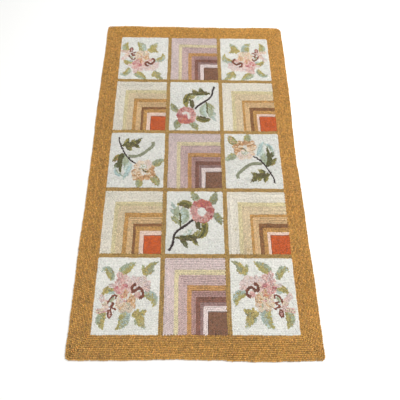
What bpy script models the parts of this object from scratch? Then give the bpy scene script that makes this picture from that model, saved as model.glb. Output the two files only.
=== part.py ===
"""A hand-hooked wool rug, lying flat.

One solid: the linen foundation and the loops that stand on it are one thick mat.
A wide border frames three columns and five rows of square blocks, parted by thin bars.
The border is hooked in rows that run round and round, so it has ribs parallel to the edges.
The drawn grid is slightly out of square and the outer edge bulges, as the hand left it.

Metres. X runs across the rug, +Y to its far end, +Z up.
The origin is the middle of the underside's box, on the floor.
"""

import math

import bmesh
import bpy
from mathutils import Vector

MM = 0.001

# Sizes across the rug, left to right, in the order in which they lie
LEFT_BORDER = 77.6 * MM
BLOCK_WIDTHS = (244.4 * MM, 237.3 * MM, 249.4 * MM)
COLUMN_BAR = 15.0 * MM
RIGHT_BORDER = 75.7 * MM

# Sizes along the rug, from the far end to the near end
FAR_BORDER = 74.7 * MM
BLOCK_LENGTHS = (265.0 * MM, 268.0 * MM, 262.0 * MM, 257.5 * MM, 268.3 * MM)
ROW_BAR = 13.0 * MM
NEAR_BORDER = 76.5 * MM

RUG_WIDTH = LEFT_BORDER + sum(BLOCK_WIDTHS) + 2 * COLUMN_BAR + RIGHT_BORDER
RUG_LENGTH = FAR_BORDER + sum(BLOCK_LENGTHS) + 4 * ROW_BAR + NEAR_BORDER

# The grid is out of square: its bars drop to the right, and its columns lean
BAR_SLOPE = 0.0108
COLUMN_LEAN = 0.0036

# Pile heights above the floor
CREST_HEIGHT = 9.0 * MM
GROOVE_DEPTH = 0.9 * MM
BLOCK_CROWN = 0.5 * MM
LUMP_HEIGHT = 0.35 * MM

# Hooked rows that run round the border, and how finely the blocks are divided
BORDER_ROWS = 14
CELLS_PER_BLOCK = 4
CELLS_PER_BAR = 2
CORNER_STEPS = 4

# How far the outer edge stands outside its drawn line, at shares of each side
# left and right run from the far end to the near end, far and near from left to right
#   share  bulge in mm
EDGE_BULGES = {
    "left": (
        (0.00, 3.5),
        (0.10, 2.6),
        (0.20, 3.4),
        (0.32, 4.6),
        (0.44, 1.3),
        (0.60, 0.1),
        (0.78, 2.3),
        (0.92, -0.6),
        (1.00, 1.1),
    ),
    "right": (
        (0.00, 1.3),
        (0.20, 2.5),
        (0.32, 0.9),
        (0.44, -4.9),
        (0.50, -6.5),
        (0.57, -1.6),
        (0.70, 0.4),
        (0.86, 4.6),
        (1.00, 5.2),
    ),
    "far": (
        (0.00, 2.7),
        (0.14, 5.2),
        (0.27, 1.8),
        (0.36, 2.4),
        (0.50, -0.6),
        (0.73, -3.2),
        (0.89, -0.9),
        (1.00, -2.4),
    ),
    "near": (
        (0.00, -4.6),
        (0.14, -1.8),
        (0.42, -3.1),
        (0.57, 0.4),
        (0.66, 5.1),
        (0.81, 8.3),
        (1.00, 4.9),
    ),
}

# Radius of each outer corner
CORNER_RADII = {
    "far_left": 11 * MM,
    "far_right": 27 * MM,
    "near_right": 9 * MM,
    "near_left": 15 * MM,
}

# The rolled outer edge of the last row, from its crest down to the underside
#   inset from the outline in mm, share of the crest's height
RIM_PROFILE = (
    (2.70, 1.00),
    (0.90, 0.80),
    (0.00, 0.48),
    (0.70, 0.18),
    (2.20, 0.00),
)

YARN_COLOUR = (0.497, 0.242, 0.045, 1.0)
YARN_ROUGHNESS = 0.95


def clear_scene():
    """Remove every object that the file opened with."""
    for item in list(bpy.data.objects):
        bpy.data.objects.remove(item, do_unlink=True)


def grid_lines(first_border, blocks, bar):
    """Places of the panel's grid lines, from its first edge on, and which of them edge a bar.

    Returns a list of (distance from the outer edge, kind), where kind is
    "edge" on a bar's or the panel's edge, "bar" inside a bar and "block" inside a block.
    """
    place = first_border
    lines = [(place, "edge")]
    for number, size in enumerate(blocks):
        for step in range(1, CELLS_PER_BLOCK):
            lines.append((place + size * step / CELLS_PER_BLOCK, "block"))
        place += size
        lines.append((place, "edge"))
        if number < len(blocks) - 1:
            for step in range(1, CELLS_PER_BAR):
                lines.append((place + bar * step / CELLS_PER_BAR, "bar"))
            place += bar
            lines.append((place, "edge"))
    return lines


def out_of_square(x, y):
    """Where the hand laid a point of the drawn grid."""
    return Vector((x - COLUMN_LEAN * y, y - BAR_SLOPE * x))


def bulge(side, share):
    """Outward bulge of a side at a share of its length, eased between the table's rows."""
    rows = EDGE_BULGES[side]
    share = min(max(share, 0.0), 1.0)
    for (start, low), (end, high) in zip(rows, rows[1:]):
        if share <= end:
            part = (share - start) / (end - start)
            ease = part * part * (3 - 2 * part)
            return (low + (high - low) * ease) * MM
    return rows[-1][1] * MM


def outline_point(x, y):
    """Moves a point of the outer rectangle out by the bulges of the two sides nearest to it."""
    along_length = 0.5 - y / RUG_LENGTH
    along_width = 0.5 + x / RUG_WIDTH
    if x > 0:
        push_x = bulge("right", along_length)
    else:
        push_x = -bulge("left", along_length)
    if y > 0:
        push_y = bulge("far", along_width)
    else:
        push_y = -bulge("near", along_width)
    return Vector((x + push_x * abs(2 * x) / RUG_WIDTH, y + push_y * abs(2 * y) / RUG_LENGTH))


def corner_points(name, sign_x, sign_y):
    """Points of one rounded outer corner, from its far or near side to its left or right side."""
    radius = CORNER_RADII[name]
    centre_x = RUG_WIDTH / 2 - radius
    centre_y = RUG_LENGTH / 2 - radius
    points = []
    for step in range(CORNER_STEPS + 1):
        angle = math.pi / 2 * (1 - step / CORNER_STEPS)
        x = sign_x * (centre_x + radius * math.cos(angle))
        y = sign_y * (centre_y + radius * math.sin(angle))
        points.append(outline_point(x, y))
    return points


def lumps(x, y):
    """Soft unevenness of the pile, a sum of slow waves."""
    waves = (
        math.sin(17 * x + 5 * y + 0.4)
        + math.sin(29 * y - 11 * x + 1.9)
        + math.sin(43 * x + 31 * y + 0.8)
    )
    return LUMP_HEIGHT * waves / 3


def panel_height(kind_x, kind_y):
    """Height of the panel at a grid point: low along the edges of bars, crowned on blocks."""
    if "edge" in (kind_x, kind_y):
        return CREST_HEIGHT - GROOVE_DEPTH
    if "bar" in (kind_x, kind_y):
        return CREST_HEIGHT
    return CREST_HEIGHT + BLOCK_CROWN


def build_panel(mesh, columns, rows):
    """Adds the middle panel. Returns its points as a table, by row and by column."""
    table = []
    for along, kind_y in rows:
        line = []
        for across, kind_x in columns:
            place = out_of_square(across - RUG_WIDTH / 2, RUG_LENGTH / 2 - along)
            height = panel_height(kind_x, kind_y) + lumps(place.x, place.y)
            line.append(mesh.verts.new((place.x, place.y, height)))
        table.append(line)
    for upper, lower in zip(table, table[1:]):
        for column in range(len(upper) - 1):
            mesh.faces.new(
                (lower[column], lower[column + 1], upper[column + 1], upper[column])
            )
    return table


def border_stations(table):
    """Stations round the border, clockwise from the far left, as (root point, outline place).

    A root is a point on the panel's rim. Round a corner several stations share one root.
    """
    far = table[0]
    near = table[-1]
    left = [line[0] for line in table]
    right = [line[-1] for line in table]
    half_width = RUG_WIDTH / 2
    half_length = RUG_LENGTH / 2
    stations = [(v, outline_point(v.co.x, half_length)) for v in far]
    stations += [(far[-1], p) for p in corner_points("far_right", 1, 1)]
    stations += [(v, outline_point(half_width, v.co.y)) for v in right]
    stations += [(near[-1], p) for p in reversed(corner_points("near_right", 1, -1))]
    stations += [(v, outline_point(v.co.x, -half_length)) for v in reversed(near)]
    stations += [(near[0], p) for p in corner_points("near_left", -1, -1)]
    stations += [(v, outline_point(-half_width, v.co.y)) for v in reversed(left)]
    stations += [(far[0], p) for p in reversed(corner_points("far_left", -1, 1))]
    return stations


def border_profile():
    """The border's section, from the panel out.

    Returns the ribs as (share of the way to the outline, height), and the rolled edge
    as (inset from the outline, height).
    """
    ribs = []
    for half_row in range(1, 2 * BORDER_ROWS - 1):
        on_crest = half_row % 2 == 1
        height = CREST_HEIGHT if on_crest else CREST_HEIGHT - GROOVE_DEPTH
        ribs.append((half_row / (2 * BORDER_ROWS), height))
    rim = [(inset * MM, share * CREST_HEIGHT) for inset, share in RIM_PROFILE]
    return ribs, rim


def build_border(mesh, stations):
    """Adds the border's ribs, its rolled edge and the flat underside."""
    ribs, rim = border_profile()
    rings = []
    for share, height in ribs:
        ring = []
        for root, place in stations:
            spot = root.co.xy.lerp(place, share)
            ring.append(mesh.verts.new((spot.x, spot.y, height + lumps(spot.x, spot.y))))
        rings.append(ring)
    for inset, height in rim:
        ring = []
        for root, place in stations:
            spot = place + (root.co.xy - place).normalized() * inset
            lift = lumps(spot.x, spot.y) * height / CREST_HEIGHT
            ring.append(mesh.verts.new((spot.x, spot.y, height + lift)))
        rings.append(ring)
    roots = [root for root, place in stations]
    for inner, outer in zip([roots] + rings, rings):
        for here in range(len(stations)):
            after = (here + 1) % len(stations)
            corners = [inner[here], outer[here], outer[after], inner[after]]
            if inner[here] is inner[after]:
                corners.pop()
            mesh.faces.new(list(reversed(corners)))
    mesh.faces.new(list(rings[-1]))


def centre_on_origin(mesh):
    """Moves the mesh so that its box is centred on the origin, with its underside at zero."""
    xs = [v.co.x for v in mesh.verts]
    ys = [v.co.y for v in mesh.verts]
    middle = Vector(((min(xs) + max(xs)) / 2, (min(ys) + max(ys)) / 2, 0))
    bmesh.ops.translate(mesh, verts=mesh.verts, vec=-middle)


def wool_material():
    """Ochre wool yarn, matt."""
    material = bpy.data.materials.new("hooked_wool")
    material.use_nodes = True
    shader = material.node_tree.nodes["Principled BSDF"]
    shader.inputs["Base Color"].default_value = YARN_COLOUR
    shader.inputs["Roughness"].default_value = YARN_ROUGHNESS
    shader.inputs["Metallic"].default_value = 0.0
    return material


def build_rug():
    """The whole rug as one closed solid."""
    mesh = bmesh.new()
    columns = grid_lines(LEFT_BORDER, BLOCK_WIDTHS, COLUMN_BAR)
    rows = grid_lines(FAR_BORDER, BLOCK_LENGTHS, ROW_BAR)
    table = build_panel(mesh, columns, rows)
    build_border(mesh, border_stations(table))
    centre_on_origin(mesh)
    bmesh.ops.triangulate(mesh, faces=mesh.faces)
    bmesh.ops.recalc_face_normals(mesh, faces=mesh.faces)
    data = bpy.data.meshes.new("rug")
    mesh.to_mesh(data)
    mesh.free()
    data.shade_smooth()
    data.set_sharp_from_angle(angle=math.radians(50))
    data.materials.append(wool_material())
    rug = bpy.data.objects.new("rug", data)
    bpy.context.scene.collection.objects.link(rug)
    return rug


clear_scene()
build_rug()
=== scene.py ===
"""A hand-hooked wool rug, dressed over its CAD solid.

Every loop of yarn is a small closed bead that stands on the linen foundation.
Rows of loops run round the border, along the bars and round the corner bands of the
striped blocks, and they follow each leaf, petal and stem of the flower blocks.

Metres. X runs across the rug, +Y to its far end, +Z up, as in the CAD.
"""

import logging
import math
from collections.abc import Callable
from dataclasses import dataclass, field
from enum import Enum
from functools import partial
from typing import Any

import bpy
import numpy as np
from mathutils import Matrix, Vector, kdtree


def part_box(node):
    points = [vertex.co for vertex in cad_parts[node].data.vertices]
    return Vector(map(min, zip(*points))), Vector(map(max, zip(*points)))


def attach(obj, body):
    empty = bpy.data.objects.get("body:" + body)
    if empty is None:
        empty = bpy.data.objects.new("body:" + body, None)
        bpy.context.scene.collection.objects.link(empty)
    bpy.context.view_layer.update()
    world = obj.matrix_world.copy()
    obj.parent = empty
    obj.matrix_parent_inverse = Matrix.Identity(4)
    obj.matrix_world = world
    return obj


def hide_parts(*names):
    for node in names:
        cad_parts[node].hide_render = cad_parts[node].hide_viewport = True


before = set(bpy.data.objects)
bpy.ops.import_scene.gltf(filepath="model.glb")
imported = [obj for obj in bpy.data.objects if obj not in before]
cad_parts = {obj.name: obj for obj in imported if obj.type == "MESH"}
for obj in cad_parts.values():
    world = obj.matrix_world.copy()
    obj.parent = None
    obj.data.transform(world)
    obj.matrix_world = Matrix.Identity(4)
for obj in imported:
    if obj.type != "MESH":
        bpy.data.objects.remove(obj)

LOG = logging.getLogger("hooked_rug")

MM = 0.001

# The drawn grid, the same sizes as the CAD's
LEFT_BORDER = 77.6 * MM
BLOCK_WIDTHS = (244.4 * MM, 237.3 * MM, 249.4 * MM)
COLUMN_BAR = 15.0 * MM
RIGHT_BORDER = 75.7 * MM
FAR_BORDER = 74.7 * MM
BLOCK_LENGTHS = (265.0 * MM, 268.0 * MM, 262.0 * MM, 257.5 * MM, 268.3 * MM)
ROW_BAR = 13.0 * MM
NEAR_BORDER = 76.5 * MM
RUG_WIDTH = LEFT_BORDER + sum(BLOCK_WIDTHS) + 2 * COLUMN_BAR + RIGHT_BORDER
RUG_LENGTH = FAR_BORDER + sum(BLOCK_LENGTHS) + 4 * ROW_BAR + NEAR_BORDER

# The grid is out of square: its bars drop to the right, and its columns lean
BAR_SLOPE = 0.0108
COLUMN_LEAN = 0.0036

# How far the outer edge stands outside its drawn line, as (share of the side, mm)
EDGE_BULGES = {
    "left": ((0, 3.5), (0.1, 2.6), (0.2, 3.4), (0.32, 4.6), (0.44, 1.3), (0.6, 0.1),
             (0.78, 2.3), (0.92, -0.6), (1, 1.1)),
    "right": ((0, 1.3), (0.2, 2.5), (0.32, 0.9), (0.44, -4.9), (0.5, -6.5), (0.57, -1.6),
              (0.7, 0.4), (0.86, 4.6), (1, 5.2)),
    "far": ((0, 2.7), (0.14, 5.2), (0.27, 1.8), (0.36, 2.4), (0.5, -0.6), (0.73, -3.2),
            (0.89, -0.9), (1, -2.4)),
    "near": ((0, -4.6), (0.14, -1.8), (0.42, -3.1), (0.57, 0.4), (0.66, 5.1), (0.81, 8.3),
             (1, 4.9)),
}

# Radius of each outer corner, by the signs of its x and y
CORNER_RADII = {(-1, 1): 11 * MM, (1, 1): 27 * MM, (1, -1): 9 * MM, (-1, -1): 15 * MM}

# The yarn's gauge: loops along a row, rows side by side, and the loops' own size
LOOP_PITCH = 5.9 * MM
ROW_PITCH = 5.44 * MM
LOOP_LENGTH = LOOP_PITCH * 1.06
LOOP_HEIGHT = 8.0 * MM
LOOP_FOOT = 1.0 * MM
BLOCK_HEIGHT = LOOP_HEIGHT + 0.5 * MM

# How far a loop stands off its place by chance, and where a row starts as a share of a
# pitch, by turns, so that neighbours lie like bricks
JITTER = 0.32 * MM
BRICK_STARTS = (0.27, 0.73)
BRICK_SPREAD = 0.12

# The closest that loops of a flower block stand, in its rows and in the rounds that fill it
LEAST_GAP = 4.6 * MM
FILLING_GAPS = (4.3 * MM, 3.9 * MM, 3.7 * MM)

# How full the loops of a motif and of the ivory ground are, against those of a straight row
MOTIF_FULL = 1.06
GROUND_FULL = 1.2

# How far the loops of a bar and of the border spread over a block's drawn edge
BAR_SPLAY = 1.5 * MM
BORDER_ROWS = 14

# Points along one side of the border, and round each half of a corner
SIDE_STEPS = 121
CORNER_STEPS = 5

# The hand's slow waver and the pile's unevenness, as waves. Each wave has its radians per
# metre across and along the rug, and its start.
WAVER = 1.1 * MM
ACROSS_WAVES = ((41, 23, 0.3), (-19, 71, 2.1))
ALONG_WAVES = ((-29, 37, 1.2), (83, 17, 0.6))
FINE_WAVES = ((157, 131, 0.0),)
FINE_SHARE = 0.5
LUMP_HEIGHT = 0.35 * MM
LUMP_WAVES = ((17, 5, 0.4), (-11, 29, 1.9), (43, 31, 0.8))

# Strength of the ivory wool in each row of blocks, as each came from its own lot
IVORY_LOTS = (0.97, 0.92, 0.92, 0.96, 1.06)
# The same for the wools of the striped blocks
STRIPE_LOTS = (1.0, 0.99, 0.99, 1.045, 1.12)
# Painted light: how much paler the dyed wools are painted to the right, as a share per metre, as
# the light falls stronger there
PAINTED_LIGHT_RIGHT = 0.1
# Dark wools take the dye less evenly than pale ones: the spread of their tones at black,
# how it falls with brightness, its limits, and how much of it is a cast of colour
SPREAD_AT_BLACK = 2.2
SPREAD_FALL = 2.3
SPREAD_LIMITS = (0.5, 2.0)
CAST_SHARE = 0.18
# No yarn is darker or paler than this, in linear colour
YARN_LIMITS = (0.01, 0.95)

# A bead of yarn: its corners, the corner on top of its crest, and the corners of its faces
VERTS_PER_LOOP = 12
CREST_CORNER = 10
FACE_CORNERS_PER_LOOP = 60

# Radians that a wave texture runs through in one unit, at a scale of one
WAVE_RATE = 20.0

Points = np.ndarray
Colours = np.ndarray


def linear(code: str) -> np.ndarray:
    """Turns an sRGB hex code into linear red, green and blue."""
    values = np.array([int(code[i : i + 2], 16) for i in (0, 2, 4)]) / 255
    return np.where(values <= 0.04045, values / 12.92, ((values + 0.055) / 1.055) ** 2.4)


class Shade(Enum):
    """The dyed wools, each named for what it is used for, as the yarn's own sRGB colour."""

    OCHRE = "C99747"
    BAR_OCHRE = "B18E4D"
    CREAM = "E0DACC"
    PALE_YELLOW = "D5C9A0"
    BEIGE = "D6C4A3"
    BAND_OCHRE = "C49755"
    PEACH = "D7B788"
    BROWN = "906338"
    PINK_WHITE = "E9D1C0"
    RUST = "C15810"
    LIGHT_MAUVE = "D1C0BC"
    STRAW = "D6CAA5"
    MAUVE = "C5ACA7"
    AMBER = "C3955C"
    DARK_MAUVE = "B38F87"
    DARK_BROWN = "895C4B"
    GREY_MAUVE = "9B7D77"
    WHITE = "E2D3CE"
    CHOCOLATE = "805941"
    IVORY = "D6D5CE"
    STAIN = "ADA793"
    MOSS = "AEA363"
    OLIVE = "8E8547"
    LIGHT_OLIVE = "A8A168"
    DARK_OLIVE = "5C5A2F"
    OLIVE_BROWN = "655B38"
    GOLD_OLIVE = "B6A469"
    SEA_GREEN = "A6AF97"
    PALE_SEA = "BECBC2"
    SKY = "AFC3C2"
    BLUE_GREY = "ADB9AF"
    SAGE = "9A9D80"
    LIGHT_SAGE = "A9AD92"
    GREY_PETAL = "D5C8C2"
    DUSTY_ROSE = "C0958C"
    SALMON = "BA7660"
    PINK_BEIGE = "D3C0AE"
    PINK = "D0A59D"
    DEEP_PINK = "C48284"
    ROSE = "B86D61"
    CRIMSON = "A5565A"
    PALE_PINK = "D7BEB5"
    PETAL_MAUVE = "D6C4BF"
    PETAL_PEACH = "CCA882"
    PETAL_CREAM = "D8C9B1"
    ORANGE_BROWN = "B08557"
    CURL_BROWN = "7D4935"
    STEM = "33221E"
    TENDRIL = "8B8D74"


def tint(shade: Shade, count: int = 1) -> Colours:
    """The shade's linear colour, once for each of count loops."""
    return np.tile(linear(shade.value), (count, 1))


def blend(colours: Colours, shade: Shade, share: np.ndarray) -> Colours:
    """Mixes a shade into colours, each by its own share from 0 to 1."""
    share = np.clip(share, 0, 1)[:, None]
    return colours * (1 - share) + tint(shade) * share


def ripples(points: Points, waves: tuple) -> np.ndarray:
    """Sum of slow waves at points. Each wave has its rate across and along, and its start."""
    x, y = points[:, 0], points[:, 1]
    return sum(np.sin(across * x + along * y + start) for across, along, start in waves)


def stations_along(path: Points, pitch: float, start: float = 0.5) -> tuple[Points, np.ndarray]:
    """Spreads loops evenly along a path.

    Args:
        path: the corners of an open line, one row each.
        pitch: the wanted distance between loops.
        start: share of a pitch before the first loop.

    Returns:
        The loops' places and the direction of the row at each, in radians.
    """
    steps = np.linalg.norm(np.diff(path, axis=0), axis=1)
    run = np.concatenate([[0], np.cumsum(steps)])
    count = max(1, round(run[-1] / pitch))
    at = (np.arange(count) + start) / count * run[-1]

    def spot(distance: np.ndarray) -> Points:
        """The path's points at distances from its start."""
        return np.stack([np.interp(distance, run, path[:, axis]) for axis in (0, 1)], 1)

    ahead = spot(np.minimum(at + pitch / 2, run[-1])) - spot(np.maximum(at - pitch / 2, 0))
    return spot(at), np.arctan2(ahead[:, 1], ahead[:, 0])


def brick_start(number: int, random: np.random.Generator) -> float:
    """Where a row starts, as a share of a pitch, so that neighbours lie like bricks."""
    return BRICK_STARTS[number % 2] + random.uniform(-BRICK_SPREAD, BRICK_SPREAD)


def smooth_line(points: Points, steps: int = 10) -> Points:
    """A Catmull-Rom curve through the points, with so many steps between two of them."""
    if len(points) < 3:
        shares = np.linspace(0, 1, steps * 2 + 1)[:, None]
        return points[0] + (points[-1] - points[0]) * shares
    padded = np.vstack([2 * points[0] - points[1], points, 2 * points[-1] - points[-2]])
    pieces = []
    for a, b, c, d in zip(padded, padded[1:], padded[2:], padded[3:]):
        t = (np.arange(steps) / steps)[:, None]
        pieces.append(
            0.5 * (2 * b + (c - a) * t + (2 * a - 5 * b + 4 * c - d) * t**2
                   + (3 * b - a - 3 * c + d) * t**3)
        )
    return np.vstack(pieces + [points[-1:]])


class Side(Enum):
    """The four sides of the border, each followed clockwise as seen from above."""

    FAR = "far"
    RIGHT = "right"
    NEAR = "near"
    LEFT = "left"


@dataclass
class Plan:
    """The drawn grid, and where the hand laid it on the worn rug."""

    width: float = RUG_WIDTH
    length: float = RUG_LENGTH
    shift: Points = field(default_factory=lambda: np.zeros(2))

    def __post_init__(self) -> None:
        """Centres the outline's box on the CAD solid's box."""
        outline = np.vstack([self.ring(side, 1.0) for side in Side])
        low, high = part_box("rug")
        middle = np.array([low.x + high.x, low.y + high.y]) / 2
        self.shift = middle - (outline.min(0) + outline.max(0)) / 2

    def column(self, number: int) -> tuple[float, float]:
        """Left and right edge of a column's pile, from the rug's middle."""
        left = LEFT_BORDER + sum(BLOCK_WIDTHS[:number]) + number * COLUMN_BAR - self.width / 2
        return left + BAR_SPLAY, left + BLOCK_WIDTHS[number] - BAR_SPLAY

    def row(self, number: int) -> tuple[float, float]:
        """Far and near edge of a row's pile, from the rug's middle."""
        far = self.length / 2 - FAR_BORDER - sum(BLOCK_LENGTHS[:number]) - number * ROW_BAR
        return far - BAR_SPLAY, far - BLOCK_LENGTHS[number] + BAR_SPLAY

    def worn(self, points: Points) -> Points:
        """Where the hand laid points of the drawn grid."""
        x, y = points[:, 0], points[:, 1]
        return np.stack([x - COLUMN_LEAN * y, y - BAR_SLOPE * x], 1)

    def bulge(self, side: str, share: np.ndarray) -> np.ndarray:
        """Outward bulge of a side at shares of its length, eased between the table's rows."""
        table = np.array(EDGE_BULGES[side], float)
        share = np.clip(share, 0, 1)
        at = np.clip(np.searchsorted(table[:, 0], share) - 1, 0, len(table) - 2)
        part = (share - table[at, 0]) / (table[at + 1, 0] - table[at, 0])
        ease = part * part * (3 - 2 * part)
        return (table[at, 1] + (table[at + 1, 1] - table[at, 1]) * ease) * MM

    def outline(self, points: Points) -> Points:
        """Moves points of the outer rectangle out by the bulges of the sides nearest to them."""
        x, y = points[:, 0], points[:, 1]
        along = 0.5 - y / self.length
        across = 0.5 + x / self.width
        push_x = np.where(x > 0, self.bulge("right", along), -self.bulge("left", along))
        push_y = np.where(y > 0, self.bulge("far", across), -self.bulge("near", across))
        return np.stack(
            [x + push_x * abs(2 * x) / self.width, y + push_y * abs(2 * y) / self.length], 1
        )

    def arc(self, sign_x: int, sign_y: int, start: float, end: float) -> Points:
        """Part of a rounded corner between two angles, in degrees up from the x axis."""
        radius = CORNER_RADII[(sign_x, sign_y)]
        angle = np.radians(np.linspace(start, end, CORNER_STEPS))
        x = sign_x * (self.width / 2 - radius + radius * np.cos(angle))
        y = sign_y * (self.length / 2 - radius + radius * np.sin(angle))
        return self.outline(np.stack([x, y], 1))

    def side_lines(self, side: Side) -> tuple[Points, Points]:
        """The inner and the outer edge of one side of the border, point for point."""
        left, right = self.column(0)[0], self.column(2)[1]
        far, near = self.row(0)[0], self.row(4)[1]
        corners = {(-1, 1): (left, far), (1, 1): (right, far), (1, -1): (right, near),
                   (-1, -1): (left, near)}
        order, number = list(corners), list(Side).index(side)
        start, end = order[number], order[(number + 1) % 4]
        first, last = np.array(corners[start]), np.array(corners[end])
        shares = np.linspace(0, 1, SIDE_STEPS)[:, None]
        inner = self.worn(first + (last - first) * shares)
        rim = inner.copy()
        if side in (Side.FAR, Side.NEAR):
            straight = 90
            rim[:, 1] = start[1] * self.length / 2
        else:
            straight = 0
            rim[:, 0] = end[0] * self.width / 2
        before, after = self.arc(*start, 45, straight), self.arc(*end, straight, 45)
        outer = np.vstack([before, self.outline(rim), after])
        ends = [np.tile(point, (CORNER_STEPS, 1)) for point in (inner[0], inner[-1])]
        return np.vstack([ends[0], inner, ends[1]]), outer

    def ring(self, side: Side, share: float, inset: float = 0.0) -> Points:
        """One side of a closed row round the border.

        Args:
            side: which side of the border.
            share: share of the way from the panel to the outline.
            inset: distance back from there towards the panel.

        Returns:
            The row's points, clockwise.
        """
        inner, outer = self.side_lines(side)
        back = inner - outer
        back /= np.linalg.norm(back, axis=1)[:, None]
        return inner + (outer - inner) * share + back * inset

    def settle(self, points: Points) -> Points:
        """Adds the hand's slow waver to laid points, and centres them on the solid."""
        fine = FINE_SHARE * ripples(points, FINE_WAVES)
        across, along = ripples(points, ACROSS_WAVES), ripples(points, ALONG_WAVES)
        highest = len(ACROSS_WAVES) + FINE_SHARE
        return points + WAVER * np.stack([across + fine, along - fine], 1) / highest + self.shift

    def lumps(self, points: Points) -> np.ndarray:
        """Soft unevenness of the pile, the same slow waves as the solid's."""
        return LUMP_HEIGHT * ripples(points, LUMP_WAVES) / len(LUMP_WAVES)


def feed(tree: bpy.types.NodeTree, made: bpy.types.Node, values: dict) -> None:
    """Feeds a node's inputs.

    Args:
        tree: the tree that holds the node.
        made: the node.
        values: what feeds each input, by its name or number: a socket or a plain value.
    """
    for key, value in values.items():
        if isinstance(value, bpy.types.NodeSocket):
            tree.links.new(value, made.inputs[key])
        else:
            made.inputs[key].default_value = value


def node(
    tree: bpy.types.NodeTree, kind: str, values: dict | None = None, **settings: Any
) -> bpy.types.Node:
    """Adds a node.

    Args:
        tree: the tree to add to.
        kind: the node's type.
        values: what feeds its inputs, as in feed.
        settings: the node's own properties.

    Returns:
        The new node.
    """
    made = tree.nodes.new(kind)
    for name, value in settings.items():
        setattr(made, name, value)
    feed(tree, made, values or {})
    return made


def relief(
    tree: bpy.types.NodeTree,
    colour: bpy.types.NodeSocket,
    hollows: dict,
    height: bpy.types.NodeSocket,
    strength: float,
    depth: float,
) -> dict:
    """Paints shade into a colour in the hollows of a surface and light on what lies between them,
    which it raises.

    Args:
        tree: the material's tree.
        colour: the plain colour.
        hollows: the inputs of the range of painted shade and light, from hollow to crest.
        height: the surface's height.
        strength: how strongly it is raised.
        depth: how deep the hollows are, in metres.

    Returns:
        What feeds the shader's colour and normal.
    """
    # painted shade in the hollows and painted light on the crests, as a factor of the colour
    shade = node(tree, "ShaderNodeMapRange", hollows)
    shaded = node(tree, "ShaderNodeVectorMath",
                  {0: colour, "Scale": shade.outputs["Result"]}, operation="SCALE")
    bump = node(tree, "ShaderNodeBump",
                {"Height": height, "Strength": strength, "Distance": depth})
    return {"Base Color": shaded.outputs["Vector"], "Normal": bump.outputs["Normal"]}


@dataclass(frozen=True)
class Finish:
    """A dull finish that isn't metal. Each real one below adds what it gives the eye."""

    name: str
    roughness: float
    specular: float = 0.25
    ior: float = 1.5

    def make(self) -> bpy.types.Material:
        """Builds the material."""
        material = bpy.data.materials.new(self.name)
        material.use_nodes = True
        tree = material.node_tree
        plain = {"Roughness": self.roughness, "Metallic": 0.0, "IOR": self.ior,
                 "Specular IOR Level": self.specular}
        feed(tree, tree.nodes["Principled BSDF"], plain | self.look(tree))
        return material

    def look(self, tree: bpy.types.NodeTree) -> dict:
        """What feeds the shader's other inputs."""
        raise NotImplementedError


@dataclass(frozen=True)
class WoolYarn(Finish):
    """Hooked wool: spun two-ply carpet yarn, dyed in small lots and pulled up in loops.

    It gives the eye a dry, matt colour with soft fibres that catch light at a low angle.
    The fibres wound round a loop are as fine as real ones. Their soft clumps are half a
    millimetre wide, which is coarser than real ones, so that they show.
    """

    name: str = "hooked_wool_yarn"
    roughness: float = 0.92
    fuzz: float = 0.35
    fuzz_roughness: float = 0.5
    fibre_spacing: float = 0.05614 * MM
    clump_size: float = MM / 1.9
    # painted shade between the clumps and painted light on them, as factors of the colour
    shade_between_clumps: float = 0.84
    light_on_clumps: float = 1.1
    bump: float = 0.55
    bump_depth: float = 0.35 * MM

    def look(self, tree: bpy.types.NodeTree) -> dict:
        """Each loop's own colour, with painted shade between the clumps of its fibre and painted
        light on them.
        """
        yarn = node(tree, "ShaderNodeAttribute", attribute_name="yarn")
        along = node(tree, "ShaderNodeAttribute", attribute_name="along")
        place = node(tree, "ShaderNodeTexCoord")
        clumps = node(
            tree, "ShaderNodeTexNoise",
            {"Vector": place.outputs["Object"], "Scale": 1 / self.clump_size, "Detail": 2.0},
        )
        fibres = node(
            tree, "ShaderNodeTexWave",
            {"Vector": along.outputs["Vector"],
             "Scale": math.tau / WAVE_RATE * LOOP_LENGTH / self.fibre_spacing,
             "Distortion": 1.5, "Detail": 1.0},
            bands_direction="DIAGONAL",
        )
        both = node(tree, "ShaderNodeMath", {0: fibres.outputs["Fac"], 1: clumps.outputs["Fac"]})
        # painted shade between the clumps, painted light on them
        hollows = {"Value": clumps.outputs["Fac"], "From Min": 0.25, "From Max": 0.75,
                   "To Min": self.shade_between_clumps, "To Max": self.light_on_clumps}
        wool = relief(tree, yarn.outputs["Color"], hollows, both.outputs["Value"], self.bump,
                      self.bump_depth)
        return wool | {"Sheen Weight": self.fuzz, "Sheen Roughness": self.fuzz_roughness}


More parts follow.
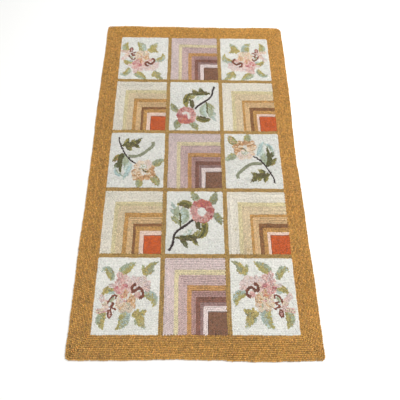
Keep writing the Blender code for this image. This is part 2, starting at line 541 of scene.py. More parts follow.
@dataclass(frozen=True)
class LinenBack(Finish):
    """Unbleached linen, plain woven, with the backs of the hooked stitches showing through.

    It gives the eye a dull oatmeal weave with a faint, faded copy of the design. Its threads
    are drawn about 3 mm apart, coarser than real ones so that they show.
    """

    name: str = "linen_back"
    roughness: float = 0.9
    flax: str = "B7A283"
    thread_spacing: float = 3.1821 * MM
    # painted shade between the threads and painted light on them, as factors of the colour
    shade_between_threads: float = 0.7
    light_on_threads: float = 1.05
    bump: float = 0.5
    bump_depth: float = 0.3 * MM

    def look(self, tree: bpy.types.NodeTree) -> dict:
        """Linen with the stitches' colour in it, with painted shade between the threads and
        painted light on them.
        """
        yarn = node(tree, "ShaderNodeAttribute", attribute_name="yarn")
        place = node(tree, "ShaderNodeTexCoord")
        warp, weft = (
            node(
                tree, "ShaderNodeTexWave",
                {"Vector": place.outputs["Object"],
                 "Scale": math.tau / WAVE_RATE / self.thread_spacing, "Distortion": 0.6},
                bands_direction=axis,
            )
            for axis in ("X", "Y")
        )
        weave = node(tree, "ShaderNodeMath", {0: warp.outputs["Fac"], 1: weft.outputs["Fac"]},
                     operation="MAXIMUM")
        mixed = node(
            tree, "ShaderNodeMix",
            {"Factor": yarn.outputs["Alpha"], 6: (*linear(self.flax), 1.0),
             7: yarn.outputs["Color"]},
            data_type="RGBA",
        )
        # painted shade between the threads, painted light on them
        hollows = {"Value": weave.outputs["Value"], "To Min": self.shade_between_threads,
                   "To Max": self.light_on_threads}
        return relief(tree, mixed.outputs[2], hollows, weave.outputs["Value"], self.bump,
                      self.bump_depth)


@dataclass(frozen=True)
class PackedRoots(Finish):
    """The same wool between and below the loops, pressed into the linen, its colour darkened as
    painted shadow.

    It gives the eye dull, dark wool where two loops part.
    """

    name: str = "packed_wool_roots"
    roughness: float = 0.95
    specular: float = 0.1

    def look(self, tree: bpy.types.NodeTree) -> dict:
        """The colour of the loops above, with the painted shadow put into it."""
        yarn = node(tree, "ShaderNodeAttribute", attribute_name="yarn")
        return {"Base Color": yarn.outputs["Color"]}


@dataclass(frozen=True)
class PaleFloor(Finish):
    """A smooth painted studio floor, which gives the eye near white without shine."""

    name: str = "pale_floor"
    roughness: float = 0.8
    specular: float = 0.5
    colour: str = "F4F4F2"

    def look(self, tree: bpy.types.NodeTree) -> dict:
        """One even colour."""
        return {"Base Color": (*linear(self.colour), 1.0)}


def put(name: str, data: bpy.types.ID) -> bpy.types.Object:
    """Makes an object of a mesh, a light or a camera, in the scene."""
    made = bpy.data.objects.new(name, data)
    bpy.context.scene.collection.objects.link(made)
    return made


def write_attribute(mesh: bpy.types.Mesh, name: str, values: np.ndarray) -> None:
    """Gives a mesh's points an attribute: rows of three are vectors, rows of four colours."""
    kind, key = ("FLOAT_VECTOR", "vector") if values.shape[1] == 3 else ("FLOAT_COLOR", "color")
    layer = mesh.attributes.new(name, kind, "POINT")
    layer.data.foreach_set(key, values.astype(np.float32).ravel())


def search_tree(places: Points) -> kdtree.KDTree:
    """A search tree over places, as seen from above."""
    tree = kdtree.KDTree(len(places))
    for number, place in enumerate(places):
        tree.insert((place[0], place[1], 0), number)
    tree.balance()
    return tree


@dataclass
class LoopRows:
    """The loops of one piece, gathered row by row before they are hooked."""

    plan: Plan
    seed: int
    spots: list[Points] = field(default_factory=list)
    turns: list[Points] = field(default_factory=list)
    sizes: list[Points] = field(default_factory=list)
    colours: list[Colours] = field(default_factory=list)

    def __post_init__(self) -> None:
        """Fixes the random draws of this piece."""
        self.random = np.random.default_rng(self.seed)

    def add(
        self,
        laid: Points,
        heading: np.ndarray,
        colours: Colours,
        row_pitch: float = ROW_PITCH,
        lean: float = 0.0,
        height: float = LOOP_HEIGHT,
        foot: float = LOOP_FOOT,
        uneven: float = 0.08,
        full: float = 1.0,
    ) -> None:
        """Adds loops.

        Args:
            laid: their places on the worn rug, before the waver.
            heading: direction of the row at each, in radians.
            colours: linear colour of each loop's yarn.
            row_pitch: distance to the next row, which sets the loops' width.
            lean: how far they lean to the left of the row, in radians.
            height: from foot to crest.
            foot: height of the feet above the floor.
            uneven: spread of the tone from loop to loop.
            full: how full the loops are, as a share of their usual length and width.
        """
        count = len(laid)
        places = self.plan.settle(laid)
        lift = self.plan.lumps(laid) + foot
        jitter = self.random.normal(0, JITTER, (count, 2))
        self.spots.append(np.column_stack([places + jitter, lift]))
        self.turns.append(np.column_stack([np.full(count, -lean), np.zeros(count), heading]))
        size = (full, row_pitch / ROW_PITCH * full, height / LOOP_HEIGHT)
        self.sizes.append(np.tile(size, (count, 1)))
        bright = colours.mean(1, keepdims=True)
        spread = uneven * np.clip(SPREAD_AT_BLACK - SPREAD_FALL * bright, *SPREAD_LIMITS)
        tone = 1 + self.random.normal(0, 1, (count, 1)) * spread
        cast = 1 + self.random.normal(0, CAST_SHARE, (count, 3)) * spread
        self.colours.append(np.clip(colours * tone * cast, *YARN_LIMITS))

    def count(self) -> int:
        """How many loops have been gathered."""
        return sum(len(part) for part in self.spots)


@dataclass
class LoopMaker:
    """Hooks loops: one bead of yarn, repeated over points by Geometry Nodes."""

    length: float = LOOP_LENGTH
    width: float = ROW_PITCH
    height: float = LOOP_HEIGHT
    turn_spread: float = 0.34
    size_spread: float = 0.1
    seed: int = 11

    def __post_init__(self) -> None:
        """Makes the bead, the wool and the tree once, for every piece."""
        self.wool = WoolYarn().make()
        self.bead = self.make_bead()
        self.tree = self.make_tree()

    def make_bead(self) -> bpy.types.Object:
        """One unit loop: a hidden foot, a full belly and a slanted, arched crest."""
        foot = [(0.34 * math.cos(a), 0.34 * math.sin(a), 0.0) for a in (0.0, 2.094, 4.189)]
        belly = [
            (0.5, 0.0, 0.64), (0.34, 0.5, 0.66), (-0.34, 0.5, 0.66),
            (-0.5, 0.0, 0.64), (-0.34, -0.5, 0.66), (0.34, -0.5, 0.66),
        ]
        crest = [(-0.26, -0.12, 0.93), (0.0, 0.0, 1.0), (0.26, 0.12, 0.93)]
        corners = foot + belly + crest
        faces = [(0, 2, 1)]
        faces += [(0, 4, 3), (0, 1, 4), (1, 5, 4), (1, 6, 5), (1, 2, 6), (2, 7, 6), (2, 8, 7),
                  (2, 0, 8), (0, 3, 8)]
        faces += [(3, 4, 11), (4, 10, 11), (4, 5, 10), (5, 9, 10), (5, 6, 9), (6, 7, 9),
                  (7, 10, 9), (7, 8, 10), (8, 11, 10), (8, 3, 11)]
        mesh = bpy.data.meshes.new("yarn_bead")
        mesh.from_pydata(corners, [], faces)
        mesh.shade_smooth()
        write_attribute(mesh, "along", np.array(corners))
        return put("yarn_bead", mesh)

    def make_tree(self) -> bpy.types.NodeTree:
        """Builds the tree: bead on points, turned and sized by attribute and by chance."""
        tree = bpy.data.node_groups.new("hooked_loops", "GeometryNodeTree")
        add = partial(node, tree)
        self.inputs = {}
        for name, kind, value in (
            ("Geometry", "Geometry", None),
            ("Bead", "Object", self.bead),
            ("Loop Length", "Float", self.length),
            ("Loop Width", "Float", self.width),
            ("Loop Height", "Float", self.height),
            ("Turn Spread", "Float", self.turn_spread),
            ("Size Spread", "Float", self.size_spread),
            ("Seed", "Int", self.seed),
            ("Wool", "Material", self.wool),
        ):
            made = tree.interface.new_socket(
                name, in_out="INPUT", socket_type="NodeSocket" + kind
            )
            if value is not None:
                self.inputs[made.identifier] = value
        tree.interface.new_socket("Geometry", in_out="OUTPUT", socket_type="NodeSocketGeometry")
        given = add("NodeGroupInput").outputs
        bead = add("GeometryNodeObjectInfo", {"Object": given["Bead"]})
        turn, size = (
            add("GeometryNodeInputNamedAttribute", {"Name": name}, data_type="FLOAT_VECTOR")
            for name in ("turn", "size")
        )
        # each loop turns a little about its own foot
        back = add("ShaderNodeMath", {0: given["Turn Spread"], 1: -1.0}, operation="MULTIPLY")
        twist = add("FunctionNodeRandomValue", {2: back.outputs[0], 3: given["Turn Spread"],
                                                "Seed": given["Seed"]})
        spin = add("ShaderNodeCombineXYZ", {"Z": twist.outputs[1]})
        turned = add("ShaderNodeVectorMath",
                     {0: turn.outputs["Attribute"], 1: spin.outputs["Vector"]})
        euler = add("FunctionNodeEulerToRotation", {"Euler": turned.outputs["Vector"]})
        # and is a little larger or smaller, in each direction by itself
        limits = []
        for way in ("SUBTRACT", "ADD"):
            limit = add("ShaderNodeMath", {0: 1.0, 1: given["Size Spread"]}, operation=way)
            limits.append(add("ShaderNodeCombineXYZ", dict.fromkeys("XYZ", limit.outputs[0])))
        other = add("ShaderNodeMath", {0: given["Seed"], 1: 1.0})
        spread = add(
            "FunctionNodeRandomValue",
            {0: limits[0].outputs[0], 1: limits[1].outputs[0], "Seed": other.outputs[0]},
            data_type="FLOAT_VECTOR",
        )
        full = add("ShaderNodeCombineXYZ", {"X": given["Loop Length"], "Y": given["Loop Width"],
                                            "Z": given["Loop Height"]})
        sized = add("ShaderNodeVectorMath",
                    {0: size.outputs["Attribute"], 1: full.outputs["Vector"]},
                    operation="MULTIPLY")
        scale = add("ShaderNodeVectorMath", {0: sized.outputs["Vector"], 1: spread.outputs[0]},
                    operation="MULTIPLY")
        hooked = add(
            "GeometryNodeInstanceOnPoints",
            {"Points": given["Geometry"], "Instance": bead.outputs["Geometry"],
             "Rotation": euler.outputs["Rotation"], "Scale": scale.outputs["Vector"]},
        )
        real = add("GeometryNodeRealizeInstances", {"Geometry": hooked.outputs["Instances"]})
        dressed = add("GeometryNodeSetMaterial",
                      {"Geometry": real.outputs["Geometry"], "Material": given["Wool"]})
        add("NodeGroupOutput", {"Geometry": dressed.outputs["Geometry"]})
        return tree

    def hook(self, name: str, rows: LoopRows) -> bpy.types.Object:
        """Turns gathered loops into one plain mesh.

        Args:
            name: the piece's name.
            rows: its loops.

        Returns:
            The finished piece, on the rug's body.
        """
        count = rows.count()
        mesh = bpy.data.meshes.new(name + "_points")
        mesh.vertices.add(count)
        mesh.vertices.foreach_set("co", np.vstack(rows.spots).astype(np.float32).ravel())
        write_attribute(mesh, "turn", np.vstack(rows.turns))
        write_attribute(mesh, "size", np.vstack(rows.sizes))
        write_attribute(mesh, "yarn", np.column_stack([np.vstack(rows.colours), np.ones(count)]))
        points = put(name + "_points", mesh)
        modifier = points.modifiers.new("hooked_loops", "NODES")
        modifier.node_group = self.tree
        for identifier, value in self.inputs.items():
            modifier[identifier] = value
        ready = points.evaluated_get(bpy.context.evaluated_depsgraph_get())
        hooked = bpy.data.meshes.new_from_object(ready)
        hooked.name = name
        points.modifiers.clear()
        bpy.data.objects.remove(points, do_unlink=True)
        bpy.data.meshes.remove(mesh)
        for spare in ("turn", "size"):
            if spare in hooked.attributes:
                hooked.attributes.remove(hooked.attributes[spare])
        self.map_for_baking(hooked, count)
        piece = put(name, hooked)
        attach(piece, "root")
        LOG.info("%s: %d loops, %d triangles", name, count, len(hooked.polygons))
        return piece

    def map_for_baking(self, mesh: bpy.types.Mesh, count: int) -> None:
        """Gives each loop its own square of the piece's map, splayed flat from foot to crest."""
        side = math.ceil(math.sqrt(count))
        foot = [(0.96, 0.54), (0.04, 0.96), (0.04, 0.12)]
        belly = [(0.86, 0.54), (0.68, 0.78), (0.30, 0.80), (0.14, 0.54), (0.30, 0.28),
                 (0.68, 0.30)]
        crest = [(0.36, 0.52), (0.5, 0.54), (0.64, 0.56)]
        splayed = np.array(foot + belly + crest)
        corners = np.empty(len(mesh.loops), np.int32)
        mesh.loops.foreach_get("vertex_index", corners)
        owner, local = corners // VERTS_PER_LOOP, corners % VERTS_PER_LOOP
        place = splayed[local]
        # the bead's underside is its first face, and lies in a strip of its own
        for corner, under in enumerate([(0.05, 0.01), (0.95, 0.01), (0.5, 0.07)]):
            place[corner::FACE_CORNERS_PER_LOOP] = under
        # rows of squares run to and fro, so that neighbours on the rug are near on the map
        row = owner // side
        column = np.where(row % 2 == 0, owner % side, side - 1 - owner % side)
        place = (place + np.column_stack([column, row])) / side
        layer = mesh.uv_layers.new(name="OFBake")
        layer.uv.foreach_set("vector", place.astype(np.float32).ravel())


@dataclass
class BorderSide:
    """One side of the ochre border: closed rows that run round the rug, mitred at its corners."""

    plan: Plan
    side: Side
    rows: int = BORDER_ROWS
    outer_lean: float = 0.2
    edge_lean: float = 1.05
    edge_inset: float = 6.2 * MM
    edge_height: float = 5.6 * MM
    edge_foot: float = 2.3 * MM
    # how much darker the edge row is, as painted shade on the rug's side
    edge_shade: float = 0.93
    # how narrow its loops are, how full, and how far from a mitre they start to turn
    narrow: float = 0.93
    full: float = 0.95
    mitre_loops: float = 2.5
    # where each row starts, as a share of a pitch, and how much further the next one does
    first_start: float = 0.3
    next_start: float = 0.618
    # the dye's slow change along a row, and the spread of its tone from loop to loop
    dye_drift: float = 0.03
    uneven: float = 0.11

    def build(self, maker: LoopMaker, tones: np.ndarray) -> bpy.types.Object:
        """Hooks the side.

        Args:
            maker: hooks the loops.
            tones: the dye's strength in each row, from the panel out.

        Returns:
            The finished piece.
        """
        loops = LoopRows(self.plan, seed=100 + list(Side).index(self.side))
        for number in range(self.rows):
            path = self.plan.ring(self.side, (number + 0.5) / self.rows)
            outermost = number == self.rows - 1
            self.add_row(loops, path, number, tones[number],
                         self.outer_lean if outermost else 0.0)
        # the edge row on the rug's side is darkened as painted shade
        path = self.plan.ring(self.side, 1.0, self.edge_inset)
        self.add_row(loops, path, self.rows, tones[-1] * self.edge_shade, self.edge_lean,
                     self.edge_height, self.edge_foot)
        return maker.hook("border_" + self.side.value, loops)

    def add_row(
        self, loops: LoopRows, path: Points, number: int, tone: float, lean: float,
        height: float = LOOP_HEIGHT, foot: float = LOOP_FOOT,
    ) -> None:
        """Adds one row along a path, with the slow change of its dye and painted light that grows
        to the right.

        Each row starts at another share of a pitch, the same on all four sides, so that
        the rings close and no two rows line up. Near a mitre the loops turn into the corner.
        """
        start = (self.first_start + self.next_start * number) % 1.0
        spots, heading = stations_along(path, LOOP_PITCH, start)
        near_start = np.clip(1 - np.arange(len(spots)) / self.mitre_loops, 0, 1)
        turning = math.pi / 4 * (1 - number / self.rows)
        heading = heading + turning * (near_start - near_start[::-1])
        slow = ripples(spots, ((9, 5, 0.7), (-13, 21, 40 * tone)))
        # painted light: the wool grows paler to the right
        drift = 1 + self.dye_drift * slow + PAINTED_LIGHT_RIGHT * spots[:, 0]
        colours = tint(Shade.OCHRE, len(spots)) * (tone * drift)[:, None]
        loops.add(spots, heading, colours, row_pitch=ROW_PITCH * self.narrow, lean=lean,
                  height=height, foot=foot, uneven=self.uneven, full=self.full)


@dataclass
class Bars:
    """The thin ochre bars between the blocks."""

    plan: Plan
    rows: int = 3
    row_tones: float = 0.03
    uneven: float = 0.07

    def build(self, maker: LoopMaker) -> list[bpy.types.Object]:
        """Hooks the two long bars as one piece and the cross bars as another."""
        across, along = COLUMN_BAR + 2 * BAR_SPLAY, ROW_BAR + 2 * BAR_SPLAY
        long_bars = LoopRows(self.plan, seed=201)
        far, near = self.plan.row(0)[0], self.plan.row(4)[1]
        for column in (0, 1):
            left = self.plan.column(column)[1]
            for number in range(self.rows):
                x = left + across * (number + 0.5) / self.rows
                self.add_row(long_bars, number, (x, far), (x, near), across / self.rows)
        cross_bars = LoopRows(self.plan, seed=202)
        for row in range(4):
            top = self.plan.row(row)[1]
            for column in range(3):
                left, right = self.plan.column(column)
                for number in range(self.rows):
                    y = top - along * (number + 0.5) / self.rows
                    self.add_row(cross_bars, number, (left, y), (right, y), along / self.rows)
        return [maker.hook("column_bars", long_bars), maker.hook("row_bars", cross_bars)]

    def add_row(
        self, loops: LoopRows, number: int, start: tuple, end: tuple, pitch: float
    ) -> None:
        """Adds one straight row between two points of the drawn grid."""
        path = np.linspace(start, end, 60)
        spots, heading = stations_along(path, LOOP_PITCH, brick_start(number, loops.random))
        tone = loops.random.normal(1, self.row_tones)
        colours = tint(Shade.BAR_OCHRE, len(spots)) * tone
        loops.add(self.plan.worn(spots), heading - BAR_SLOPE, colours, row_pitch=pitch,
                  uneven=self.uneven)


class Bands(Enum):
    """The two colourings of the striped blocks, as (share at which a band ends, shade)."""

    CREAM = (
        (0.178, Shade.CREAM), (0.25, Shade.PALE_YELLOW), (0.37, Shade.BEIGE),
        (0.43, Shade.BAND_OCHRE), (0.524, Shade.PEACH), (0.58, Shade.BROWN),
        (0.64, Shade.BAND_OCHRE), (0.694, Shade.PINK_WHITE), (1.0, Shade.RUST),
    )
    MAUVE = (
        (0.16, Shade.LIGHT_MAUVE), (0.24, Shade.STRAW), (0.37, Shade.MAUVE),
        (0.44, Shade.AMBER), (0.515, Shade.DARK_MAUVE), (0.578, Shade.DARK_BROWN),
        (0.638, Shade.GREY_MAUVE), (0.694, Shade.WHITE), (1.0, Shade.CHOCOLATE),
    )


@dataclass
class Block:
    """One block of the panel, by its column and row, counted from the far left one."""

    plan: Plan
    column: int
    row: int

    def __post_init__(self) -> None:
        """Finds the edges of the block's pile on the drawn grid."""
        self.left, self.right = self.plan.column(self.column)
        self.far, self.near = self.plan.row(self.row)
        self.wide, self.deep = self.right - self.left, self.far - self.near

    def label(self, kind: str) -> str:
        """The name of the block's piece, such as striped_block_2_left."""
        return f"{kind}_block_{self.row + 1}_{('left', 'middle', 'right')[self.column]}"

    def gather(self, seed: int) -> LoopRows:
        """An empty set of loops, with random draws of the block's own."""
        return LoopRows(self.plan, seed=seed + 10 * self.row + self.column)


@dataclass
class StripedBlock(Block):
    """A block of corner bands: rows run up its left side and turn along its far side.

    A stain has its share across, share down, radius in mm and strength. The bands that run
    across lie lower from nearly halfway in: by the share lower, reached over lower_over.
    """

    bands: Bands
    stains: tuple = ()
    lower: float = 0.015
    lower_from: float = 0.43
    lower_over: float = 0.08
    # the spread of the bands' ends, of the rows' tones and of the loops' tones
    band_waver: float = 0.0025
    row_tones: float = 0.022
    uneven: float = 0.075
    dye_drift: float = 0.02
    core_inset: float = 0.2 * MM
    # how far a stain fades past its radius, and how dark it is
    stain_fade: float = 1.3
    stain_tone: float = 0.8

    def build(self, maker: LoopMaker) -> bpy.types.Object:
        """Hooks the block."""
        loops = self.gather(300)
        count = round(self.wide / ROW_PITCH)
        square, core = self.bands.value[-2][0], self.bands.value[-1][1]
        pitch = (self.wide + self.deep) / 2 / count
        for number in range(count):
            share = (number + 0.5) / count
            if share > square:
                break
            shade = self.shade_at(share + loops.random.normal(0, self.band_waver))
            part = min(max((share - self.lower_from) / self.lower_over, 0.0), 1.0)
            down = share + self.lower * part
            corner = (self.left + share * self.wide, self.far - down * self.deep)
            path = np.array([(corner[0], self.near), corner, (self.right, corner[1])])
            self.add_row(loops, number, path, shade, pitch)
        inner = math.ceil((1 - square) * self.deep / ROW_PITCH)
        for number in range(inner):
            up = (1 - self.lower - share) * self.deep * (number + 0.5) / inner
            y = self.near + up + self.core_inset
            path = np.array([(self.left + share * self.wide, y), (self.right, y)])
            self.add_row(loops, number, path, core, pitch)
        return maker.hook(self.label("striped"), loops)

    def shade_at(self, share: float) -> Shade:
        """The band's shade at a share of the way in."""
        return next(shade for end, shade in self.bands.value if share < end)

    def add_row(
        self, loops: LoopRows, number: int, path: Points, shade: Shade, pitch: float
    ) -> None:
        """Adds one row in one shade, with the dye's slow change, painted light that grows to the
        right, and any stains.
        """
        spots, heading = stations_along(path, LOOP_PITCH, brick_start(number, loops.random))
        tone = loops.random.normal(1, self.row_tones)
        slow = ripples(spots, ((31, 17, 6 * tone),))
        # painted light: the wool grows paler to the right
        drift = STRIPE_LOTS[self.row] * (1 + self.dye_drift * slow + PAINTED_LIGHT_RIGHT * spots[:, 0])
        colours = tint(shade, len(spots)) * (tone * drift)[:, None]
        self.stain(spots, colours)
        loops.add(self.plan.worn(spots), heading - BAR_SLOPE, colours, row_pitch=pitch,
                  height=BLOCK_HEIGHT, uneven=self.uneven)

    def stain(self, spots: Points, colours: Colours) -> None:
        """Greys the loops inside the stains. Their colours are changed in place."""
        grey = linear(Shade.STAIN.value)
        for across, down, radius, strength in self.stains:
            centre = np.array([self.left + across * self.wide, self.far - down * self.deep])
            away = np.linalg.norm(spots - centre, axis=1) / (radius * MM)
            share = (strength * np.clip(self.stain_fade - away, 0, 1))[:, None]
            colours += (colours * grey / grey.max() * self.stain_tone - colours) * share


class Stance(Enum):
    """How a motif is laid into its block, as (mirrored across, flipped end for end)."""

    DRAWN = (False, False)
    MIRRORED = (True, False)
    FLIPPED = (False, True)
    TURNED = (True, True)


@dataclass
class Canvas:
    """One flower block's drawing surface. Motifs are drawn in shares, right and down."""

    left: float
    far: float
    wide: float
    deep: float
    stance: Stance = Stance.DRAWN
    offset: tuple[float, float] = (0.0, 0.0)

    def at(self, points: list[tuple[float, float]]) -> Points:
        """Places of points that are given in shares of the block."""
        shares = np.array(points, float).reshape(-1, 2)
        mirrored, flipped = self.stance.value
        if mirrored:
            shares[:, 0] = 1 - shares[:, 0]
        if flipped:
            shares[:, 1] = 1 - shares[:, 1]
        shares += self.offset
        return np.column_stack(
            [self.left + shares[:, 0] * self.wide, self.far - shares[:, 1] * self.deep]
        )

    def hand(self) -> int:
        """Minus one where the stance changes left and right, else one."""
        mirrored, flipped = self.stance.value
        return -1 if mirrored != flipped else 1


class Shape:
    """Anything drawn on a canvas, with the lines that its rows of loops follow."""

    def covers(self, points: Points) -> np.ndarray:
        """Which points lie inside."""
        raise NotImplementedError

    def rows(self) -> list[Points]:
        """The lines that its rows of loops follow, the first ones first."""
        raise NotImplementedError

    def paint(self, points: Points, random: np.random.Generator) -> Colours:
        """The yarn of a loop at each point."""
        raise NotImplementedError

    def fullness(self) -> float:
        """How full its loops are."""
        return MOTIF_FULL


@dataclass
class Leaf(Shape):
    """A leaf or petal: a bent midrib, and a width that swells and then tapers to a tip."""

    canvas: Canvas
    midrib: list[tuple[float, float]]
    half_width: float
    body: Shade
    dark: Shade | None = None
    rim: Shade | None = None
    tip: Shade | None = None
    fleck: Shade | None = None
    belly: float = 0.42
    base: float = 0.15
    blunt: float = 0.9
    flecks: float = 0.16
    # how sharply the dark side, the tip and the rim set in, and from where
    dark_rate: float = 1.2
    tip_from: float = 0.55
    tip_rate: float = 2.6
    rim_from: float = 0.5
    rim_rate: float = 3.0
    blur: float = 0.3

    def __post_init__(self) -> None:
        """Draws the midrib as a smooth line on the block."""
        self.line = smooth_line(self.canvas.at(self.midrib))
        steps = np.linalg.norm(np.diff(self.line, axis=0), axis=1)
        self.run = np.concatenate([[0], np.cumsum(steps)])
        self.half = self.half_width * MM

    def width_at(self, share: np.ndarray) -> np.ndarray:
        """Half width at shares of the midrib's length."""
        rise = self.base + (1 - self.base) * np.sin(np.pi / 2 * np.clip(share / self.belly, 0, 1))
        fallen = np.clip((share - self.belly) / (1 - self.belly), 0, 1)
        fall = np.clip(np.cos(np.pi / 2 * fallen), 0, 1) ** self.blunt
        return self.half * np.where(share < self.belly, rise, fall)

    def locate(self, points: Points) -> tuple[np.ndarray, np.ndarray]:
        """Share along the midrib and signed distance from it, plus to its left, of points."""
        start, step = self.line[:-1], np.diff(self.line, axis=0)
        length = np.linalg.norm(step, axis=1)
        rel = points[:, None, :] - start[None]
        share = np.clip((rel * step).sum(2) / length**2, 0, 1)
        away = rel - share[..., None] * step
        square = (away**2).sum(2)
        best = square.argmin(1)
        pick = np.arange(len(points))
        cross = step[best, 0] * rel[pick, best, 1] - step[best, 1] * rel[pick, best, 0]
        side = np.sign(cross) * np.sqrt(square[pick, best]) * self.canvas.hand()
        along = (self.run[best] + share[pick, best] * length[best]) / self.run[-1]
        return along, side

    def covers(self, points: Points) -> np.ndarray:
        """Which points lie inside."""
        along, side = self.locate(points)
        return (abs(side) <= self.width_at(along)) & (along > 0) & (along < 1)

    def rows(self) -> list[Points]:
        """The lines that its rows of loops follow, from the midrib out."""
        normal = np.gradient(self.line, axis=0)
        normal = np.column_stack([-normal[:, 1], normal[:, 0]])
        normal /= np.linalg.norm(normal, axis=1)[:, None]
        width = self.width_at(self.run / self.run[-1])
        lines = []
        count = max(1, round(2 * self.half / ROW_PITCH))
        for number in range(count):
            offset = (number - (count - 1) / 2) * 2 * self.half / count
            inside = abs(offset) <= width + 0.1 * ROW_PITCH
            if inside.sum() > 1:
                lines.append((self.line + normal * offset)[inside])
        return sorted(lines, key=lambda line: -len(line))

    def paint(self, points: Points, random: np.random.Generator) -> Colours:
        """The yarn of each loop: dark side, tip and rim blended into the body, then flecks."""
        along, side = self.locate(points)
        width = np.maximum(self.width_at(along), 1 * MM)
        blur = random.normal(0, self.blur, len(points))
        colours = tint(self.body, len(points))
        if self.dark:
            colours = blend(colours, self.dark, 0.5 - side / width * self.dark_rate + blur)
        if self.tip:
            colours = blend(colours, self.tip, (along - self.tip_from) * self.tip_rate + blur)
        if self.rim:
            outer = abs(side) / width - self.rim_from
            colours = blend(colours, self.rim, outer * self.rim_rate + blur)
        if self.fleck:
            colours[random.random(len(points)) < self.flecks] = tint(self.fleck)
        return colours


@dataclass
class Stem(Leaf):
    """A stem, curl or tendril: the same width nearly all the way."""

    end_width: float = 0.6

    def width_at(self, share: np.ndarray) -> np.ndarray:
        """Half width at shares of the length, drawn in at the two ends."""
        ends = np.clip(np.minimum(share, 1 - share) * self.run[-1] / self.half, 0, 1)
        return self.half * (self.end_width + (1 - self.end_width) * ends)

    def fullness(self) -> float:
        """A stem of one row has loops as wide as itself."""
        one_row = self.half < ROW_PITCH * 0.75
        return max(MOTIF_FULL, 2 * self.half / ROW_PITCH) if one_row else MOTIF_FULL


@dataclass
class Blossom(Shape):
    """A round part of a flower, in one shade or several side by side, hooked in rings."""

    canvas: Canvas
    centre: tuple[float, float]
    radius: float
    shades: list[Shade]
    fold: Shade
    dent: float = 0.14
    fold_width: float = 2.3 * MM

    def __post_init__(self) -> None:
        """Finds the middle on the block."""
        self.middle = self.canvas.at([self.centre])[0]
        self.reach = self.radius * MM

    def polar(self, points: Points) -> tuple[np.ndarray, np.ndarray]:
        """Distance from the middle and angle in turns, drawn the way the motif lies."""
        mirrored, flipped = self.canvas.stance.value
        rel = points - self.middle
        x = -rel[:, 0] if mirrored else rel[:, 0]
        y = -rel[:, 1] if flipped else rel[:, 1]
        return np.hypot(x, y), (np.arctan2(y, x) / (2 * np.pi)) % 1.0

    def covers(self, points: Points) -> np.ndarray:
        """Which points lie inside the outline, which is dented between the shades."""
        away, angle = self.polar(points)
        dent = self.dent * abs(np.cos(np.pi * angle * len(self.shades))) ** 6
        return away <= self.reach * (1 - dent)

    def rows(self) -> list[Points]:
        """Rings from the outline in."""
        count = max(1, round(self.reach / ROW_PITCH))
        turn = np.linspace(0, 2 * np.pi, 49)
        circle = np.column_stack([np.cos(turn), np.sin(turn)])
        return [self.middle + circle * self.reach * (k + 0.5) / count
                for k in reversed(range(count))]

    def paint(self, points: Points, random: np.random.Generator) -> Colours:
        """The yarn of each loop: the shades round the middle, with folds between them."""
        away, angle = self.polar(points)
        count = len(self.shades)
        colours = np.vstack([tint(shade) for shade in self.shades])[
            (angle * count).astype(int) % count
        ]
        # one draw for each loop, as a leaf has, which keeps the draws after it in order
        random.normal(size=len(points))
        gap = abs((angle * count + 0.5) % 1.0 - 0.5) / count * 2 * np.pi * away
        colours[(gap < self.fold_width) & (away > 0)] = tint(self.fold)
        return colours


@dataclass
class Petal(Leaf):
    """A petal: broad and blunt, pale along its rim."""

    base: float = 0.55
    belly: float = 0.6
    blunt: float = 0.4


def petals_round(
    canvas: Canvas, centre: tuple[float, float], table: tuple
) -> list[Shape]:
    """Petals set round a centre.

    Args:
        canvas: the block's drawing surface.
        centre: the flower's middle, in shares of the block.
        table: each petal's angle in degrees, its reach as a share, its half width in mm,
            and its body, dark side, rim and fleck.

    Returns:
        The petals.
    """
    petals = []
    for angle, reach, half_width, body, dark, rim, fleck in table:
        across, down = math.cos(math.radians(angle)), -math.sin(math.radians(angle))
        line = [(centre[0] + across * step, centre[1] + down * step) for step in (0.03, reach)]
        petals.append(Petal(canvas, line, half_width, body, dark=dark, rim=rim, fleck=fleck))
    return petals


